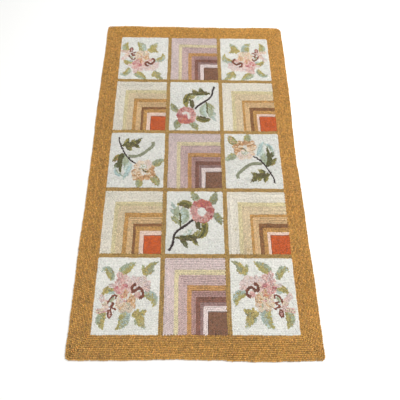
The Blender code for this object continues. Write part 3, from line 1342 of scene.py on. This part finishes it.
def rose_spray(canvas: Canvas) -> list[Shape]:
    """A red rose on a dark stem, with a long toothed leaf. Front shapes come first."""
    leaf, petal, stem = partial(Leaf, canvas), partial(Petal, canvas), partial(Stem, canvas)
    if canvas.stance is Stance.TURNED:
        middle, grown = (0.365, 0.67), 1.08
        heart = [Blossom(canvas, (0.38, 0.665), 19, [Shade.IVORY], Shade.IVORY, dent=0.1),
                 petal([(0.33, 0.63), (0.30, 0.67)], 6, Shade.DUSTY_ROSE)]
        end = [(0.885, 0.14), (0.95, 0.04)]
        teeth = ([(0.76, 0.24), (0.68, 0.17), (0.625, 0.075)],
                 [(0.58, 0.25), (0.50, 0.18), (0.435, 0.115)])
    else:
        middle, grown = (0.335, 0.70), 1.0
        heart = [stem([(0.25, 0.665), (0.33, 0.65), (0.385, 0.69), (0.405, 0.775)], 8.2,
                      Shade.IVORY, rim=Shade.PALE_PINK)]
        end = [(0.875, 0.20), (0.91, 0.085)]
        teeth = ([(0.71, 0.24), (0.64, 0.19), (0.615, 0.10)],
                 [(0.55, 0.24), (0.49, 0.20), (0.45, 0.145)])
    dusty, red, pink, crimson = Shade.DUSTY_ROSE, Shade.ROSE, Shade.PINK, Shade.CRIMSON
    shapes = heart + [stem([(0.29, 0.725), (0.34, 0.735), (0.365, 0.78)], 3.0, crimson)]
    shapes += petals_round(canvas, middle, (
        (0, 0.205 * grown, 20, dusty, pink, pink, Shade.DEEP_PINK),
        (46, 0.20 * grown, 20, dusty, pink, pink, red),
        (92, 0.17 * grown, 20, dusty, pink, dusty, red),
        (140, 0.19 * grown, 19, dusty, red, dusty, crimson),
        (183, 0.20 * grown, 19, red, crimson, dusty, Shade.SALMON),
        (228, 0.20 * grown, 20, Shade.SALMON, red, red, crimson),
        (272, 0.18 * grown, 21, red, Shade.SALMON, Shade.SALMON, crimson),
        (316, 0.205 * grown, 20, Shade.DEEP_PINK, red, dusty, dusty),
    ))
    shapes += [
        Blossom(canvas, middle, 46 * grown, [red, dusty, Shade.DEEP_PINK], red, dent=0.04),
        stem([(0.515, 0.57), (0.555, 0.515), (0.61, 0.475), (0.70, 0.415), (0.78, 0.365),
              (0.855, 0.29)] + end, 4.7, Shade.STEM),
        stem([(0.745, 0.41), (0.75, 0.50), (0.76, 0.645)], 3.9, Shade.DARK_OLIVE),
        leaf([(0.84, 0.245), (0.74, 0.235), (0.60, 0.24), (0.48, 0.245), (0.37, 0.27)], 12,
             Shade.DARK_OLIVE, dark=Shade.OLIVE_BROWN, belly=0.35, base=0.1, fleck=Shade.OLIVE),
        leaf(teeth[0], 10.5, Shade.DARK_OLIVE, tip=Shade.SAGE, base=0.6),
        leaf(teeth[1], 9.5, Shade.OLIVE_BROWN, dark=Shade.OLIVE, tip=Shade.LIGHT_OLIVE),
        stem([(0.385, 0.27), (0.345, 0.34), (0.335, 0.44)], 4.7, Shade.DARK_OLIVE),
        leaf([(0.42, 0.25), (0.355, 0.31), (0.325, 0.40), (0.35, 0.54)], 14.5, Shade.OLIVE,
             dark=Shade.OLIVE, belly=0.55, base=0.5, blunt=0.6, fleck=Shade.DARK_OLIVE),
        leaf([(0.38, 0.26), (0.33, 0.285), (0.28, 0.325)], 6, Shade.LIGHT_OLIVE),
        leaf([(0.39, 0.37), (0.44, 0.42), (0.465, 0.555)], 11, Shade.OLIVE_BROWN,
             dark=Shade.DARK_OLIVE, blunt=0.5),
        leaf([(0.53, 0.275), (0.465, 0.30), (0.42, 0.365)], 13, Shade.LIGHT_OLIVE,
             dark=Shade.SAGE, fleck=Shade.OLIVE, flecks=0.3),
        leaf([(0.71, 0.28), (0.62, 0.32), (0.53, 0.38)], 10, Shade.PALE_SEA,
             rim=Shade.SEA_GREEN, belly=0.5, fleck=Shade.IVORY),
        leaf([(0.19, 0.62), (0.12, 0.59), (0.07, 0.53), (0.02, 0.44)], 15, Shade.SAGE,
             dark=Shade.TENDRIL, belly=0.35, fleck=Shade.OLIVE),
        leaf([(0.26, 0.79), (0.17, 0.86), (0.115, 0.99)], 18, Shade.SAGE,
             dark=Shade.TENDRIL, tip=Shade.SAGE, belly=0.45, fleck=Shade.OLIVE),
        leaf([(0.40, 0.86), (0.49, 0.90), (0.575, 1.0)], 16, Shade.SEA_GREEN,
             dark=Shade.SAGE, tip=Shade.LIGHT_OLIVE, fleck=Shade.OLIVE),
        stem([(0.56, 0.755), (0.62, 0.775), (0.70, 0.80), (0.78, 0.785)], 4.0, Shade.DARK_OLIVE),
        leaf([(0.54, 0.735), (0.60, 0.765), (0.68, 0.79), (0.76, 0.79), (0.83, 0.765)], 16,
             Shade.OLIVE_BROWN, dark=Shade.OLIVE, belly=0.35, base=0.5,
             fleck=Shade.LIGHT_OLIVE, flecks=0.2),
        leaf([(0.77, 0.44), (0.82, 0.51), (0.93, 0.57)], 10, Shade.SAGE,
             rim=Shade.LIGHT_OLIVE),
        leaf([(0.79, 0.52), (0.82, 0.60), (0.80, 0.75)], 14, Shade.LIGHT_SAGE,
             dark=Shade.SEA_GREEN, belly=0.5, fleck=Shade.SAGE),
        leaf([(0.80, 0.60), (0.87, 0.64), (0.94, 0.71)], 7, Shade.BLUE_GREY,
             rim=Shade.SEA_GREEN),
        leaf([(0.80, 0.68), (0.86, 0.73), (0.93, 0.82)], 7, Shade.BLUE_GREY),
        leaf([(0.72, 0.46), (0.665, 0.60), (0.73, 0.74)], 16.5, Shade.PALE_SEA,
             dark=Shade.SEA_GREEN, belly=0.5, blunt=0.6, fleck=Shade.SEA_GREEN),
    ]
    return shapes


def peach_spray(canvas: Canvas) -> list[Shape]:
    """A peach flower on a long dark stem, with a toothed leaf, a tendril and pale leaves."""
    leaf, petal, stem = partial(Leaf, canvas), partial(Petal, canvas), partial(Stem, canvas)
    cream, peach, orange = Shade.PETAL_CREAM, Shade.PETAL_PEACH, Shade.ORANGE_BROWN
    beige = Shade.PINK_BEIGE
    shapes = [
        stem([(0.615, 0.675), (0.645, 0.71), (0.71, 0.715)], 3.4, Shade.OLIVE_BROWN),
        petal([(0.56, 0.65), (0.63, 0.63), (0.70, 0.65)], 13, Shade.IVORY, rim=cream,
              fleck=Shade.LIGHT_SAGE, flecks=0.3),
        petal([(0.60, 0.69), (0.62, 0.74), (0.66, 0.78)], 10, Shade.IVORY, rim=cream,
              fleck=beige, flecks=0.3),
        petal([(0.66, 0.755), (0.71, 0.765), (0.76, 0.745)], 5, cream, fleck=Shade.IVORY),
    ]
    shapes += petals_round(canvas, (0.64, 0.69), (
        (124, 0.195, 15, beige, cream, cream, Shade.PETAL_MAUVE),
        (57, 0.205, 19, beige, Shade.PETAL_MAUVE, Shade.GREY_PETAL, cream),
        (157, 0.20, 13, beige, cream, cream, peach),
        (199, 0.235, 17, peach, cream, orange, cream),
        (223, 0.25, 15, peach, cream, orange, cream),
        (257, 0.19, 17, orange, peach, orange, peach),
        (299, 0.205, 14, orange, peach, peach, cream),
        (338, 0.23, 16, peach, orange, orange, cream),
        (14, 0.205, 15, peach, orange, peach, cream),
    ))
    shapes += [
        Blossom(canvas, (0.645, 0.69), 42, [cream, peach, beige], cream),
        stem([(0.143, 0.085), (0.15, 0.16), (0.19, 0.25), (0.25, 0.35), (0.31, 0.44),
              (0.40, 0.53), (0.49, 0.575)], 3.7, Shade.STEM),
        leaf([(0.185, 0.255), (0.32, 0.23), (0.43, 0.21), (0.575, 0.10)], 13,
             Shade.DARK_OLIVE, dark=Shade.OLIVE_BROWN, belly=0.6, fleck=Shade.OLIVE),
        leaf([(0.24, 0.235), (0.29, 0.18), (0.325, 0.095)], 10, Shade.OLIVE,
             dark=Shade.DARK_OLIVE, fleck=Shade.LIGHT_OLIVE),
        leaf([(0.35, 0.22), (0.40, 0.17), (0.44, 0.11)], 8, Shade.OLIVE),
        leaf([(0.40, 0.23), (0.48, 0.245), (0.55, 0.28)], 9, Shade.DARK_OLIVE,
             tip=Shade.OLIVE),
        leaf([(0.29, 0.24), (0.34, 0.29), (0.42, 0.34)], 11, Shade.OLIVE,
             dark=Shade.DARK_OLIVE, tip=Shade.LIGHT_OLIVE),
        stem([(0.34, 0.44), (0.46, 0.445), (0.57, 0.415), (0.67, 0.35), (0.75, 0.28),
              (0.79, 0.225), (0.775, 0.165)], 7.2, Shade.TENDRIL),
        leaf([(0.25, 0.39), (0.21, 0.47), (0.195, 0.58), (0.235, 0.77)], 12,
             Shade.DARK_OLIVE, dark=Shade.DARK_OLIVE, belly=0.25, base=0.5),
        leaf([(0.24, 0.41), (0.15, 0.475), (0.06, 0.545)], 14, Shade.OLIVE_BROWN,
             dark=Shade.OLIVE, belly=0.4, fleck=Shade.ORANGE_BROWN),
        leaf([(0.20, 0.54), (0.16, 0.60), (0.09, 0.665)], 12, Shade.DARK_OLIVE,
             tip=Shade.SEA_GREEN, belly=0.4),
        leaf([(0.42, 0.58), (0.37, 0.67), (0.34, 0.76), (0.27, 0.875)], 10,
             Shade.SKY, rim=Shade.BLUE_GREY, tip=Shade.BLUE_GREY),
        leaf([(0.12, 0.66), (0.16, 0.75), (0.28, 0.815)], 9, Shade.SEA_GREEN,
             dark=Shade.SKY, belly=0.4),
        leaf([(0.265, 0.42), (0.30, 0.52), (0.285, 0.64)], 16, Shade.SEA_GREEN,
             rim=Shade.BLUE_GREY, belly=0.55, fleck=Shade.LIGHT_SAGE, flecks=0.3),
        leaf([(0.37, 0.56), (0.33, 0.62), (0.30, 0.72)], 12, Shade.PALE_SEA,
             belly=0.45, blunt=0.7, fleck=Shade.IVORY),
        leaf([(0.80, 0.63), (0.85, 0.58), (1.0, 0.49)], 17, Shade.SAGE,
             dark=Shade.LIGHT_OLIVE, tip=Shade.SEA_GREEN, belly=0.35, fleck=Shade.SEA_GREEN),
        leaf([(0.74, 0.81), (0.85, 0.86), (0.915, 0.98)], 18, Shade.SAGE,
             dark=Shade.LIGHT_OLIVE, rim=Shade.OLIVE, belly=0.45, fleck=peach),
        leaf([(0.57, 0.86), (0.57, 0.92), (0.555, 1.0)], 16, Shade.LIGHT_OLIVE,
             dark=Shade.SAGE, belly=0.5, base=0.6, fleck=Shade.SEA_GREEN),
    ]
    return shapes


def bouquet(canvas: Canvas) -> list[Shape]:
    """A round bunch of pink, mauve and cream flowers with brown curls and bending leaves."""
    shapes = [
        Stem(canvas, curl, width, Shade.CURL_BROWN)
        for width, curl in (
            (6.0, [(0.635, 0.36), (0.59, 0.375), (0.568, 0.42), (0.59, 0.455), (0.63, 0.44),
                   (0.67, 0.415), (0.715, 0.425), (0.75, 0.475), (0.74, 0.525),
                   (0.69, 0.54)]),
            (3.6, [(0.22, 0.62), (0.235, 0.57), (0.285, 0.515), (0.335, 0.515), (0.33, 0.56)]),
            (4.0, [(0.27, 0.60), (0.315, 0.62), (0.265, 0.655), (0.35, 0.695)]),
            (3.2, [(0.28, 0.70), (0.235, 0.71), (0.225, 0.765), (0.255, 0.795), (0.28, 0.76),
                   (0.275, 0.705)]),
        )
    ]
    deep, pink, pale, cream = Shade.DEEP_PINK, Shade.PINK, Shade.PALE_PINK, Shade.PETAL_CREAM
    mauve, grey, peach = Shade.PETAL_MAUVE, Shade.GREY_PETAL, Shade.PETAL_PEACH
    orange, beige = Shade.ORANGE_BROWN, Shade.PINK_BEIGE
    petals = (
        # pink flower, left of the middle
        ((0.42, 0.37), (0.50, 0.40), 9, deep, pink, Shade.ROSE),
        ((0.36, 0.405), (0.305, 0.42), 8, deep, pink, Shade.ROSE),
        ((0.40, 0.39), (0.345, 0.275), 14, pink, pale, mauve),
        ((0.42, 0.37), (0.345, 0.19), 12, pale, pink, mauve),
        ((0.44, 0.36), (0.44, 0.235), 15, pale, mauve, pink),
        ((0.45, 0.37), (0.53, 0.265), 13, mauve, pale, grey),
        ((0.38, 0.39), (0.29, 0.37), 13, pale, pink, cream),
        ((0.38, 0.40), (0.305, 0.47), 15, pink, deep, pale),
        ((0.42, 0.40), (0.38, 0.51), 11, pink, pale, deep),
        ((0.34, 0.39), (0.195, 0.375), 9, pale, Shade.IVORY, grey),
        # mauve flower, to the right
        ((0.47, 0.40), (0.575, 0.33), 14, pale, pink, cream),
        ((0.63, 0.36), (0.575, 0.25), 12, mauve, grey, beige),
        ((0.65, 0.37), (0.66, 0.28), 9, pale, mauve, grey),
        ((0.69, 0.37), (0.775, 0.26), 15, grey, mauve, beige),
        ((0.73, 0.38), (0.86, 0.345), 12, mauve, pale, grey),
        ((0.73, 0.40), (0.86, 0.44), 9, pale, mauve, grey),
        ((0.62, 0.50), (0.72, 0.505), 13, pink, pale, beige),
        # small peach flower
        ((0.59, 0.59), (0.59, 0.525), 7, peach, cream, orange),
        ((0.54, 0.56), (0.64, 0.56), 15, peach, peach, orange),
        # cream and orange flower, below the middle
        ((0.46, 0.55), (0.47, 0.43), 10, peach, pink, Shade.SALMON),
        ((0.45, 0.55), (0.40, 0.49), 9, peach, pink, Shade.SALMON),
        ((0.47, 0.57), (0.56, 0.47), 11, cream, peach, Shade.IVORY),
        ((0.45, 0.58), (0.345, 0.555), 13, cream, pale, grey),
        ((0.46, 0.59), (0.345, 0.66), 14, cream, peach, beige),
        ((0.47, 0.60), (0.41, 0.73), 14, cream, beige, peach),
        ((0.48, 0.60), (0.50, 0.715), 13, beige, Shade.LIGHT_SAGE, cream),
        ((0.49, 0.60), (0.585, 0.72), 14, cream, beige, peach),
        ((0.50, 0.60), (0.645, 0.655), 12, beige, cream, peach),
        # pale side flower and the bud
        ((0.17, 0.60), (0.065, 0.50), 11, pale, mauve, Shade.IVORY),
        ((0.23, 0.62), (0.115, 0.605), 12, cream, pink, pale),
        ((0.24, 0.65), (0.165, 0.68), 12, pale, mauve, cream),
        ((0.23, 0.69), (0.03, 0.72), 9, cream, pink, pale),
        ((0.25, 0.72), (0.25, 0.785), 6, Shade.DUSTY_ROSE, pink, pale),
        ((0.25, 0.60), (0.30, 0.53), 7, Shade.SAGE, cream, Shade.SEA_GREEN),
    )
    for root, end, half_width, body, rim, fleck in petals:
        shapes.append(Petal(canvas, [root, end], half_width, body, rim=rim, fleck=fleck))
    moss, sea, sage, blue = Shade.MOSS, Shade.SEA_GREEN, Shade.SAGE, Shade.BLUE_GREY
    gold, light = Shade.GOLD_OLIVE, Shade.PALE_SEA
    leaves = (
        ([(0.25, 0.31), (0.225, 0.235), (0.17, 0.175), (0.11, 0.16), (0.06, 0.20)], 14.5,
         moss, sea, blue, gold),
        ([(0.375, 0.25), (0.41, 0.185), (0.49, 0.135), (0.61, 0.06)], 18, sea, moss, None, gold),
        ([(0.785, 0.24), (0.75, 0.17), (0.72, 0.095)], 11, moss, gold, sea, sea),
        ([(0.76, 0.25), (0.815, 0.155), (0.88, 0.095), (0.97, 0.055)], 12.5, moss, sage, sage,
         gold),
        ([(0.77, 0.22), (0.84, 0.19), (0.91, 0.175)], 10, moss, gold, sage, sage),
        ([(0.29, 0.41), (0.19, 0.435), (0.095, 0.515)], 12, moss, gold, None, sage),
        ([(0.30, 0.47), (0.25, 0.475), (0.20, 0.485)], 5.5, blue, None, None, None),
        ([(0.76, 0.49), (0.86, 0.505), (0.925, 0.57), (0.915, 0.67)], 16, blue, moss, moss,
         gold),
        ([(0.18, 0.72), (0.125, 0.79), (0.13, 0.86), (0.175, 0.935)], 17, moss, sea, moss,
         gold),
        ([(0.455, 0.68), (0.485, 0.765), (0.455, 0.86), (0.365, 0.94)], 21, blue, moss, moss,
         light),
        ([(0.71, 0.78), (0.65, 0.755), (0.575, 0.745)], 12, moss, gold, None, gold),
        ([(0.67, 0.80), (0.745, 0.74), (0.83, 0.69)], 11.5, moss, gold, None, sage),
        ([(0.665, 0.75), (0.675, 0.71), (0.68, 0.67)], 10, moss, None, None, gold),
        ([(0.69, 0.72), (0.715, 0.79), (0.75, 0.865), (0.81, 0.935)], 15, gold, moss, blue,
         moss),
        ([(0.69, 0.78), (0.675, 0.82), (0.655, 0.885)], 10, moss, sea, blue, sage),
    )
    for midrib, half_width, body, dark, end, fleck in leaves:
        shapes.append(Leaf(canvas, midrib, half_width, body, dark=dark, tip=end, fleck=fleck,
                           base=0.45, belly=0.36, flecks=0.1))
    for centre, radius, shades in (
        ((0.47, 0.50), 30, [pale, cream, pink]),
        ((0.43, 0.36), 34, [pale, pink, mauve]),
        ((0.48, 0.60), 30, [cream, beige]),
        ((0.67, 0.35), 22, [pale, grey]),
    ):
        shapes.append(Blossom(canvas, centre, radius, shades, shades[1]))
    return shapes


@dataclass
class FlowerBlock(Block):
    """An ivory block with one motif. Motif rows come first, then the ground fills round them."""

    motif: Callable[[Canvas], list[Shape]]
    stance: Stance
    offset: tuple[float, float] = (0.0, 0.0)
    margin: float = 1.6 * MM
    ground_width: float = 1.15
    wave_height: float = 1.8 * MM
    dye_drift: float = 0.02
    taken: dict = field(default_factory=dict)

    def __post_init__(self) -> None:
        """Lays the canvas over the block and draws the motif."""
        super().__post_init__()
        canvas = Canvas(self.left, self.far, self.wide, self.deep, self.stance, self.offset)
        self.shapes = self.motif(canvas)

    def build(self, maker: LoopMaker) -> bpy.types.Object:
        """Hooks the block: motif from front to back, its edge row, its ground, then the gaps."""
        loops = self.gather(400)
        for depth, shape in enumerate(self.shapes):
            for path in shape.rows():
                spots, heading = stations_along(path, LOOP_PITCH, loops.random.uniform(0.3, 0.7))
                seen = self.inside(spots)
                for front in self.shapes[:depth]:
                    seen &= ~front.covers(spots)
                self.lay(loops, spots[seen], heading[seen], shape)
        for number, path in enumerate(self.ground_rows()):
            start = brick_start(number, loops.random)
            spots, heading = stations_along(path, LOOP_PITCH, start)
            self.lay(loops, spots, heading, None)
        self.fill_gaps(loops)
        return maker.hook(self.label("flower"), loops)

    def inside(self, spots: Points) -> np.ndarray:
        """Which places lie on the block, clear of its edges."""
        place = np.column_stack([spots[:, 0] - self.left, self.far - spots[:, 1]])
        size = np.array([self.wide, self.deep])
        return ((place > self.margin) & (place < size - self.margin)).all(1)

    def ground_rows(self) -> list[Points]:
        """The row along the block's four edges, then wavy rows across it."""
        inset, right, near = ROW_PITCH / 2, self.left + self.wide, self.far - self.deep
        box = [(self.left + inset, self.far - inset), (right - inset, self.far - inset),
               (right - inset, near + inset), (self.left + inset, near + inset)]
        rows = [np.array([box[k], box[(k + 1) % 4]]) for k in range(4)]
        count = round((self.deep - 2 * ROW_PITCH) / ROW_PITCH)
        across = np.linspace(self.left + 1.6 * inset, right - 1.6 * inset, 50)
        for number in range(count):
            down = 2 * inset + (self.deep - 4 * inset) * (number + 0.5) / count
            fade = 1 - abs(2 * down / self.deep - 1) ** 3
            wave = self.wave_height * fade * np.sin(33 * across + 0.35 * number)
            rows.append(np.column_stack([across, self.far - down + wave]))
        return rows

    def lay(
        self, loops: LoopRows, spots: Points, heading: np.ndarray, shape: Shape | None
    ) -> None:
        """Keeps the loops that are clear of those already there, and paints them.

        Args:
            loops: the block's loops, which these join.
            spots: their places on the drawn grid.
            heading: direction of the row at each, in radians.
            shape: the shape that they belong to, or None on the ground.
        """
        keep = [k for k in range(len(spots)) if self.claim(spots[k], LEAST_GAP)]
        if not keep:
            return
        spots, heading = spots[keep], heading[keep]
        colours = (shape or self).paint(spots, loops.random)
        loops.add(self.plan.worn(spots), heading - BAR_SLOPE, colours, height=BLOCK_HEIGHT,
                  row_pitch=ROW_PITCH if shape else ROW_PITCH * self.ground_width,
                  full=shape.fullness() if shape else GROUND_FULL)

    def claim(self, spot: Points, gap: float) -> bool:
        """Takes a place if no loop stands within the gap of it."""
        cell = (int(spot[0] // LEAST_GAP), int(spot[1] // LEAST_GAP))
        for dx in (-1, 0, 1):
            for dy in (-1, 0, 1):
                for x, y in self.taken.get((cell[0] + dx, cell[1] + dy), ()):
                    if (x - spot[0]) ** 2 + (y - spot[1]) ** 2 < gap * gap:
                        return False
        self.taken.setdefault(cell, []).append((spot[0], spot[1]))
        return True

    def paint(self, points: Points, random: np.random.Generator) -> Colours:
        """The front shape's yarn at each point, and the ivory ground elsewhere."""
        slow = 1 + self.dye_drift * ripples(points, ((29, -37, 0.0),))
        colours = tint(Shade.IVORY, len(points)) * slow[:, None] * IVORY_LOTS[self.row]
        free = np.ones(len(points), bool)
        for shape in self.shapes:
            here = free & shape.covers(points)
            if here.any():
                colours[here] = shape.paint(points[here], random)
                free &= ~here
        return colours

    def fill_gaps(self, loops: LoopRows) -> None:
        """Adds loops in the widest gaps that the rows left, a few rounds over."""
        edge, step = 2 * MM, 1.5 * MM
        across = np.arange(self.left + edge, self.left + self.wide - edge, step)
        down = np.arange(self.far - self.deep + edge, self.far - edge, step)
        grid = np.stack(np.meshgrid(across, down), -1).reshape(-1, 2)
        for least in FILLING_GAPS:
            tree = search_tree([spot for cell in self.taken.values() for spot in cell])
            away = np.array([tree.find((x, y, 0))[2] for x, y in grid])
            order = [k for k in np.argsort(-away) if away[k] > least]
            picked = [k for k in order if self.claim(grid[k], least)]
            if not picked:
                continue
            spots = grid[picked]
            colours = self.paint(spots, loops.random)
            turn = loops.random.uniform(0, math.pi, len(spots))
            loops.add(self.plan.worn(spots), turn, colours, height=BLOCK_HEIGHT, full=MOTIF_FULL)


@dataclass
class Foundation:
    """The linen under the loops, with the wool's packed roots on it and a turned hem below."""

    plan: Plan
    cell: float = 10.0 * MM
    inset: float = 3.0 * MM
    top: float = 2.6 * MM
    hem_width: float = 28.0 * MM
    hem_step: float = 0.5 * MM
    hem_fold: float = 0.9 * MM
    # the painted shade on the wool among its roots, the wool's tone on the back, and its share of
    # the back's colour
    root_shade: float = 0.6
    back_tone: float = 0.8
    back_share: float = 0.5
    loops_seen: int = 4

    def lines(self, size: float) -> np.ndarray:
        """Grid lines across one direction, close together at the hem's inner edge."""
        half = size / 2
        hem = np.array([0, self.hem_width / 3, self.hem_width * 2 / 3, self.hem_width,
                        self.hem_width + self.hem_fold])
        inner = half - hem[-1] - self.cell
        middle = np.linspace(-inner, inner, round(2 * inner / self.cell) + 1)
        return np.concatenate([-half + hem, middle, (half - hem)[::-1]])

    def spread(self, grid: Points) -> Points:
        """Lays a rectangular grid inside the worn outline, with its rounded corners."""
        half = np.array([self.plan.width, self.plan.length]) / 2
        moved = grid * (1 - self.inset / half)
        for (sign_x, sign_y), radius in CORNER_RADII.items():
            sign = np.array([sign_x, sign_y])
            centre = half - radius
            rel = moved * sign - centre
            hit = (rel > 0).all(1)
            size = np.linalg.norm(rel[hit], axis=1)
            scale = rel[hit].max(1) / np.maximum(size, 1e-9)
            moved[hit] = (centre + rel[hit] * scale[:, None]) * sign
        return self.plan.outline(moved) + self.plan.shift

    def build(self, pile: list[bpy.types.Object]) -> bpy.types.Object:
        """Builds the foundation.

        Args:
            pile: the hooked pieces, whose colours it takes on.

        Returns:
            The finished piece.
        """
        xs, ys = self.lines(self.plan.width), self.lines(self.plan.length)
        flat = np.stack(np.meshgrid(xs, ys), -1).reshape(-1, 2)
        laid = self.spread(flat)
        half = np.array([self.plan.width, self.plan.length]) / 2
        inside = (half - abs(flat)).min(1) > self.hem_width + self.hem_fold / 2
        upper = np.column_stack([laid, self.top + self.plan.lumps(laid)])
        lower = np.column_stack([laid, np.where(inside, self.hem_step, 0.0)])
        index = np.arange(len(flat)).reshape(len(ys), len(xs))
        a, b = index[:-1, :-1].ravel(), index[:-1, 1:].ravel()
        c, d = index[1:, 1:].ravel(), index[1:, :-1].ravel()
        below = len(flat)
        rim = np.concatenate([index[0], index[1:, -1], index[-1, -2::-1], index[-2:0:-1, 0]])
        after = np.roll(rim, -1)
        faces = np.vstack([
            np.column_stack([a, b, c, d]),
            np.column_stack([d, c, b, a]) + below,
            np.column_stack([rim + below, after + below, after, rim]),
        ])
        mesh = bpy.data.meshes.new("foundation")
        mesh.from_pydata(np.vstack([upper, lower]).tolist(), [], faces.tolist())
        mesh.materials.append(LinenBack().make())
        mesh.materials.append(PackedRoots().make())
        mesh.polygons.foreach_set("material_index", [1] * len(a) + [0] * (len(faces) - len(a)))
        self.colour(mesh, pile, laid, inside)
        piece = put("foundation", mesh)
        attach(piece, "root")
        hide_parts("rug")
        LOG.info("foundation: %d faces", len(faces))
        return piece

    def colour(
        self, mesh: bpy.types.Mesh, pile: list[bpy.types.Object], laid: Points, inside: np.ndarray
    ) -> None:
        """Gives each point the mean colour of the loops above it, darkened on top as painted
        shade between the loops, and the hem plain linen.

        Args:
            mesh: the foundation's mesh, its upper points first.
            pile: the hooked pieces.
            laid: the places of its upper points, and so of its lower ones.
            inside: which of them lie inside the hem.
        """
        spots, colours = [], []
        for piece in pile:
            count = len(piece.data.vertices)
            place = np.empty(count * 3, np.float32)
            piece.data.vertices.foreach_get("co", place)
            shade = np.empty(count * 4, np.float32)
            piece.data.attributes["yarn"].data.foreach_get("color", shade)
            spots.append(place.reshape(-1, 3)[CREST_CORNER::VERTS_PER_LOOP])
            colours.append(shade.reshape(-1, 4)[CREST_CORNER::VERTS_PER_LOOP, :3])
        colours = np.vstack(colours)
        tree = search_tree(np.vstack(spots))
        near = np.array([
            colours[[found[1] for found in tree.find_n((x, y, 0), self.loops_seen)]].mean(0)
            for x, y in laid
        ])
        # the roots between the loops are darkened as painted shade
        top = np.column_stack([near * self.root_shade, np.ones(len(laid))])
        back = np.column_stack([near * self.back_tone, np.where(inside, self.back_share, 0.0)])
        write_attribute(mesh, "yarn", np.vstack([top, back]))


@dataclass
class Studio:
    """The pale floor, the soft light and the camera at the photograph's place."""

    lens: float = 27.65
    shift_x: float = -0.0014
    shift_y: float = -0.0985
    place: tuple = (0.0015, -0.5077, 1.2698)
    pitch: float = 1.19141
    roll: float = 0.041746
    yaw: float = 0.045604
    sky_strength: float = 0.5
    floor_reach: float = 9.0
    floor_drop: float = 0.2 * MM

    def build(self) -> None:
        """Sets floor, light, camera and colour management."""
        reach, drop = self.floor_reach, self.floor_drop
        mesh = bpy.data.meshes.new("studio_floor")
        corners = [(x * reach, y * reach, -drop) for x, y in ((-1, -1), (1, -1), (1, 1), (-1, 1))]
        mesh.from_pydata(corners, [], [(0, 1, 2, 3)])
        mesh.materials.append(PaleFloor().make())
        floor = put("studio_floor", mesh)
        self.add_light("soft_box", (1.5, 0.7, 2.8), 1.5, 106.0)
        self.add_light("fill_box", (-1.4, -1.6, 2.4), 2.2, 14.0)
        scene = bpy.context.scene
        scene.world = bpy.data.worlds.new("studio_world")
        scene.world.use_nodes = True
        tree = scene.world.node_tree
        feed(tree, tree.nodes["Background"],
             {"Color": (1, 1, 1, 1), "Strength": self.sky_strength})
        scene.view_settings.view_transform = "Standard"
        scene.view_settings.look = "None"
        self.add_camera()

    def add_light(self, name: str, place: tuple, size: float, power: float) -> None:
        """Adds a square soft light that faces the middle of the rug.

        Args:
            name: the light's name.
            place: where it stands.
            size: its width in metres.
            power: its power in watts.
        """
        lamp = bpy.data.lights.new(name, "AREA")
        lamp.size = size
        lamp.energy = power
        light = put(name, lamp)
        light.location = place
        light.rotation_mode = "QUATERNION"
        light.rotation_quaternion = (-Vector(place)).to_track_quat("-Z", "Y")

    def add_camera(self) -> None:
        """Adds the camera, turned by its yaw, its pitch below the horizon and its roll."""
        ahead = Vector((
            math.sin(self.yaw) * math.cos(self.pitch),
            math.cos(self.yaw) * math.cos(self.pitch),
            -math.sin(self.pitch),
        ))
        level = Vector((math.cos(self.yaw), -math.sin(self.yaw), 0))
        above = level.cross(ahead)
        right = level * math.cos(self.roll) + above * math.sin(self.roll)
        up = above * math.cos(self.roll) - level * math.sin(self.roll)
        lens = bpy.data.cameras.new("camera")
        lens.sensor_width = 36
        lens.lens = self.lens
        lens.shift_x = self.shift_x
        lens.shift_y = self.shift_y
        lens.clip_start, lens.clip_end = 0.01, 50
        camera = put("camera", lens)
        camera.matrix_world = Matrix.Translation(self.place) @ Matrix(
            (right, up, -ahead)).transposed().to_4x4()
        bpy.context.scene.camera = camera


def striped_blocks(plan: Plan) -> list[StripedBlock]:
    """The seven striped blocks, with the few grey stains on the fourth row's right one."""
    stains = ((0.12, 0.62, 7, 0.7), (0.31, 0.93, 10, 0.8), (0.26, 0.80, 5, 0.4))
    blocks = [StripedBlock(plan, 1, row, Bands.MAUVE) for row in (0, 2, 4)]
    blocks += [
        StripedBlock(plan, column, row, Bands.CREAM, stains if (column, row) == (2, 3) else ())
        for row in (1, 3)
        for column in (0, 2)
    ]
    return blocks


def flower_blocks(plan: Plan) -> list[FlowerBlock]:
    """The eight flower blocks: each motif is laid as it is, mirrored, flipped or turned."""
    return [
        FlowerBlock(plan, 0, 0, bouquet, Stance.FLIPPED, (-0.03, 0.06)),
        FlowerBlock(plan, 2, 0, bouquet, Stance.TURNED, (0.0, 0.055)),
        FlowerBlock(plan, 1, 1, rose_spray, Stance.DRAWN),
        FlowerBlock(plan, 0, 2, peach_spray, Stance.DRAWN),
        FlowerBlock(plan, 2, 2, peach_spray, Stance.TURNED),
        FlowerBlock(plan, 1, 3, rose_spray, Stance.TURNED),
        FlowerBlock(plan, 0, 4, bouquet, Stance.DRAWN),
        FlowerBlock(plan, 2, 4, bouquet, Stance.MIRRORED, (0.0, -0.015)),
    ]


def main() -> None:
    """Builds the rug piece by piece, then the studio."""
    logging.basicConfig(level=logging.INFO, format="%(name)s: %(message)s")
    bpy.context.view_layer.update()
    plan = Plan()
    maker = LoopMaker()
    tones = np.random.default_rng(7).normal(1, 0.048, BORDER_ROWS)
    pile = [BorderSide(plan, side).build(maker, tones) for side in Side]
    pile += Bars(plan).build(maker)
    for block in striped_blocks(plan) + flower_blocks(plan):
        pile.append(block.build(maker))
    Foundation(plan).build(pile)
    bpy.data.objects.remove(maker.bead, do_unlink=True)
    Studio().build()
    total = sum(len(piece.data.polygons) for piece in pile)
    LOG.info("%d pieces of pile, %d triangles", len(pile), total)


if __name__ == "__main__":
    main()
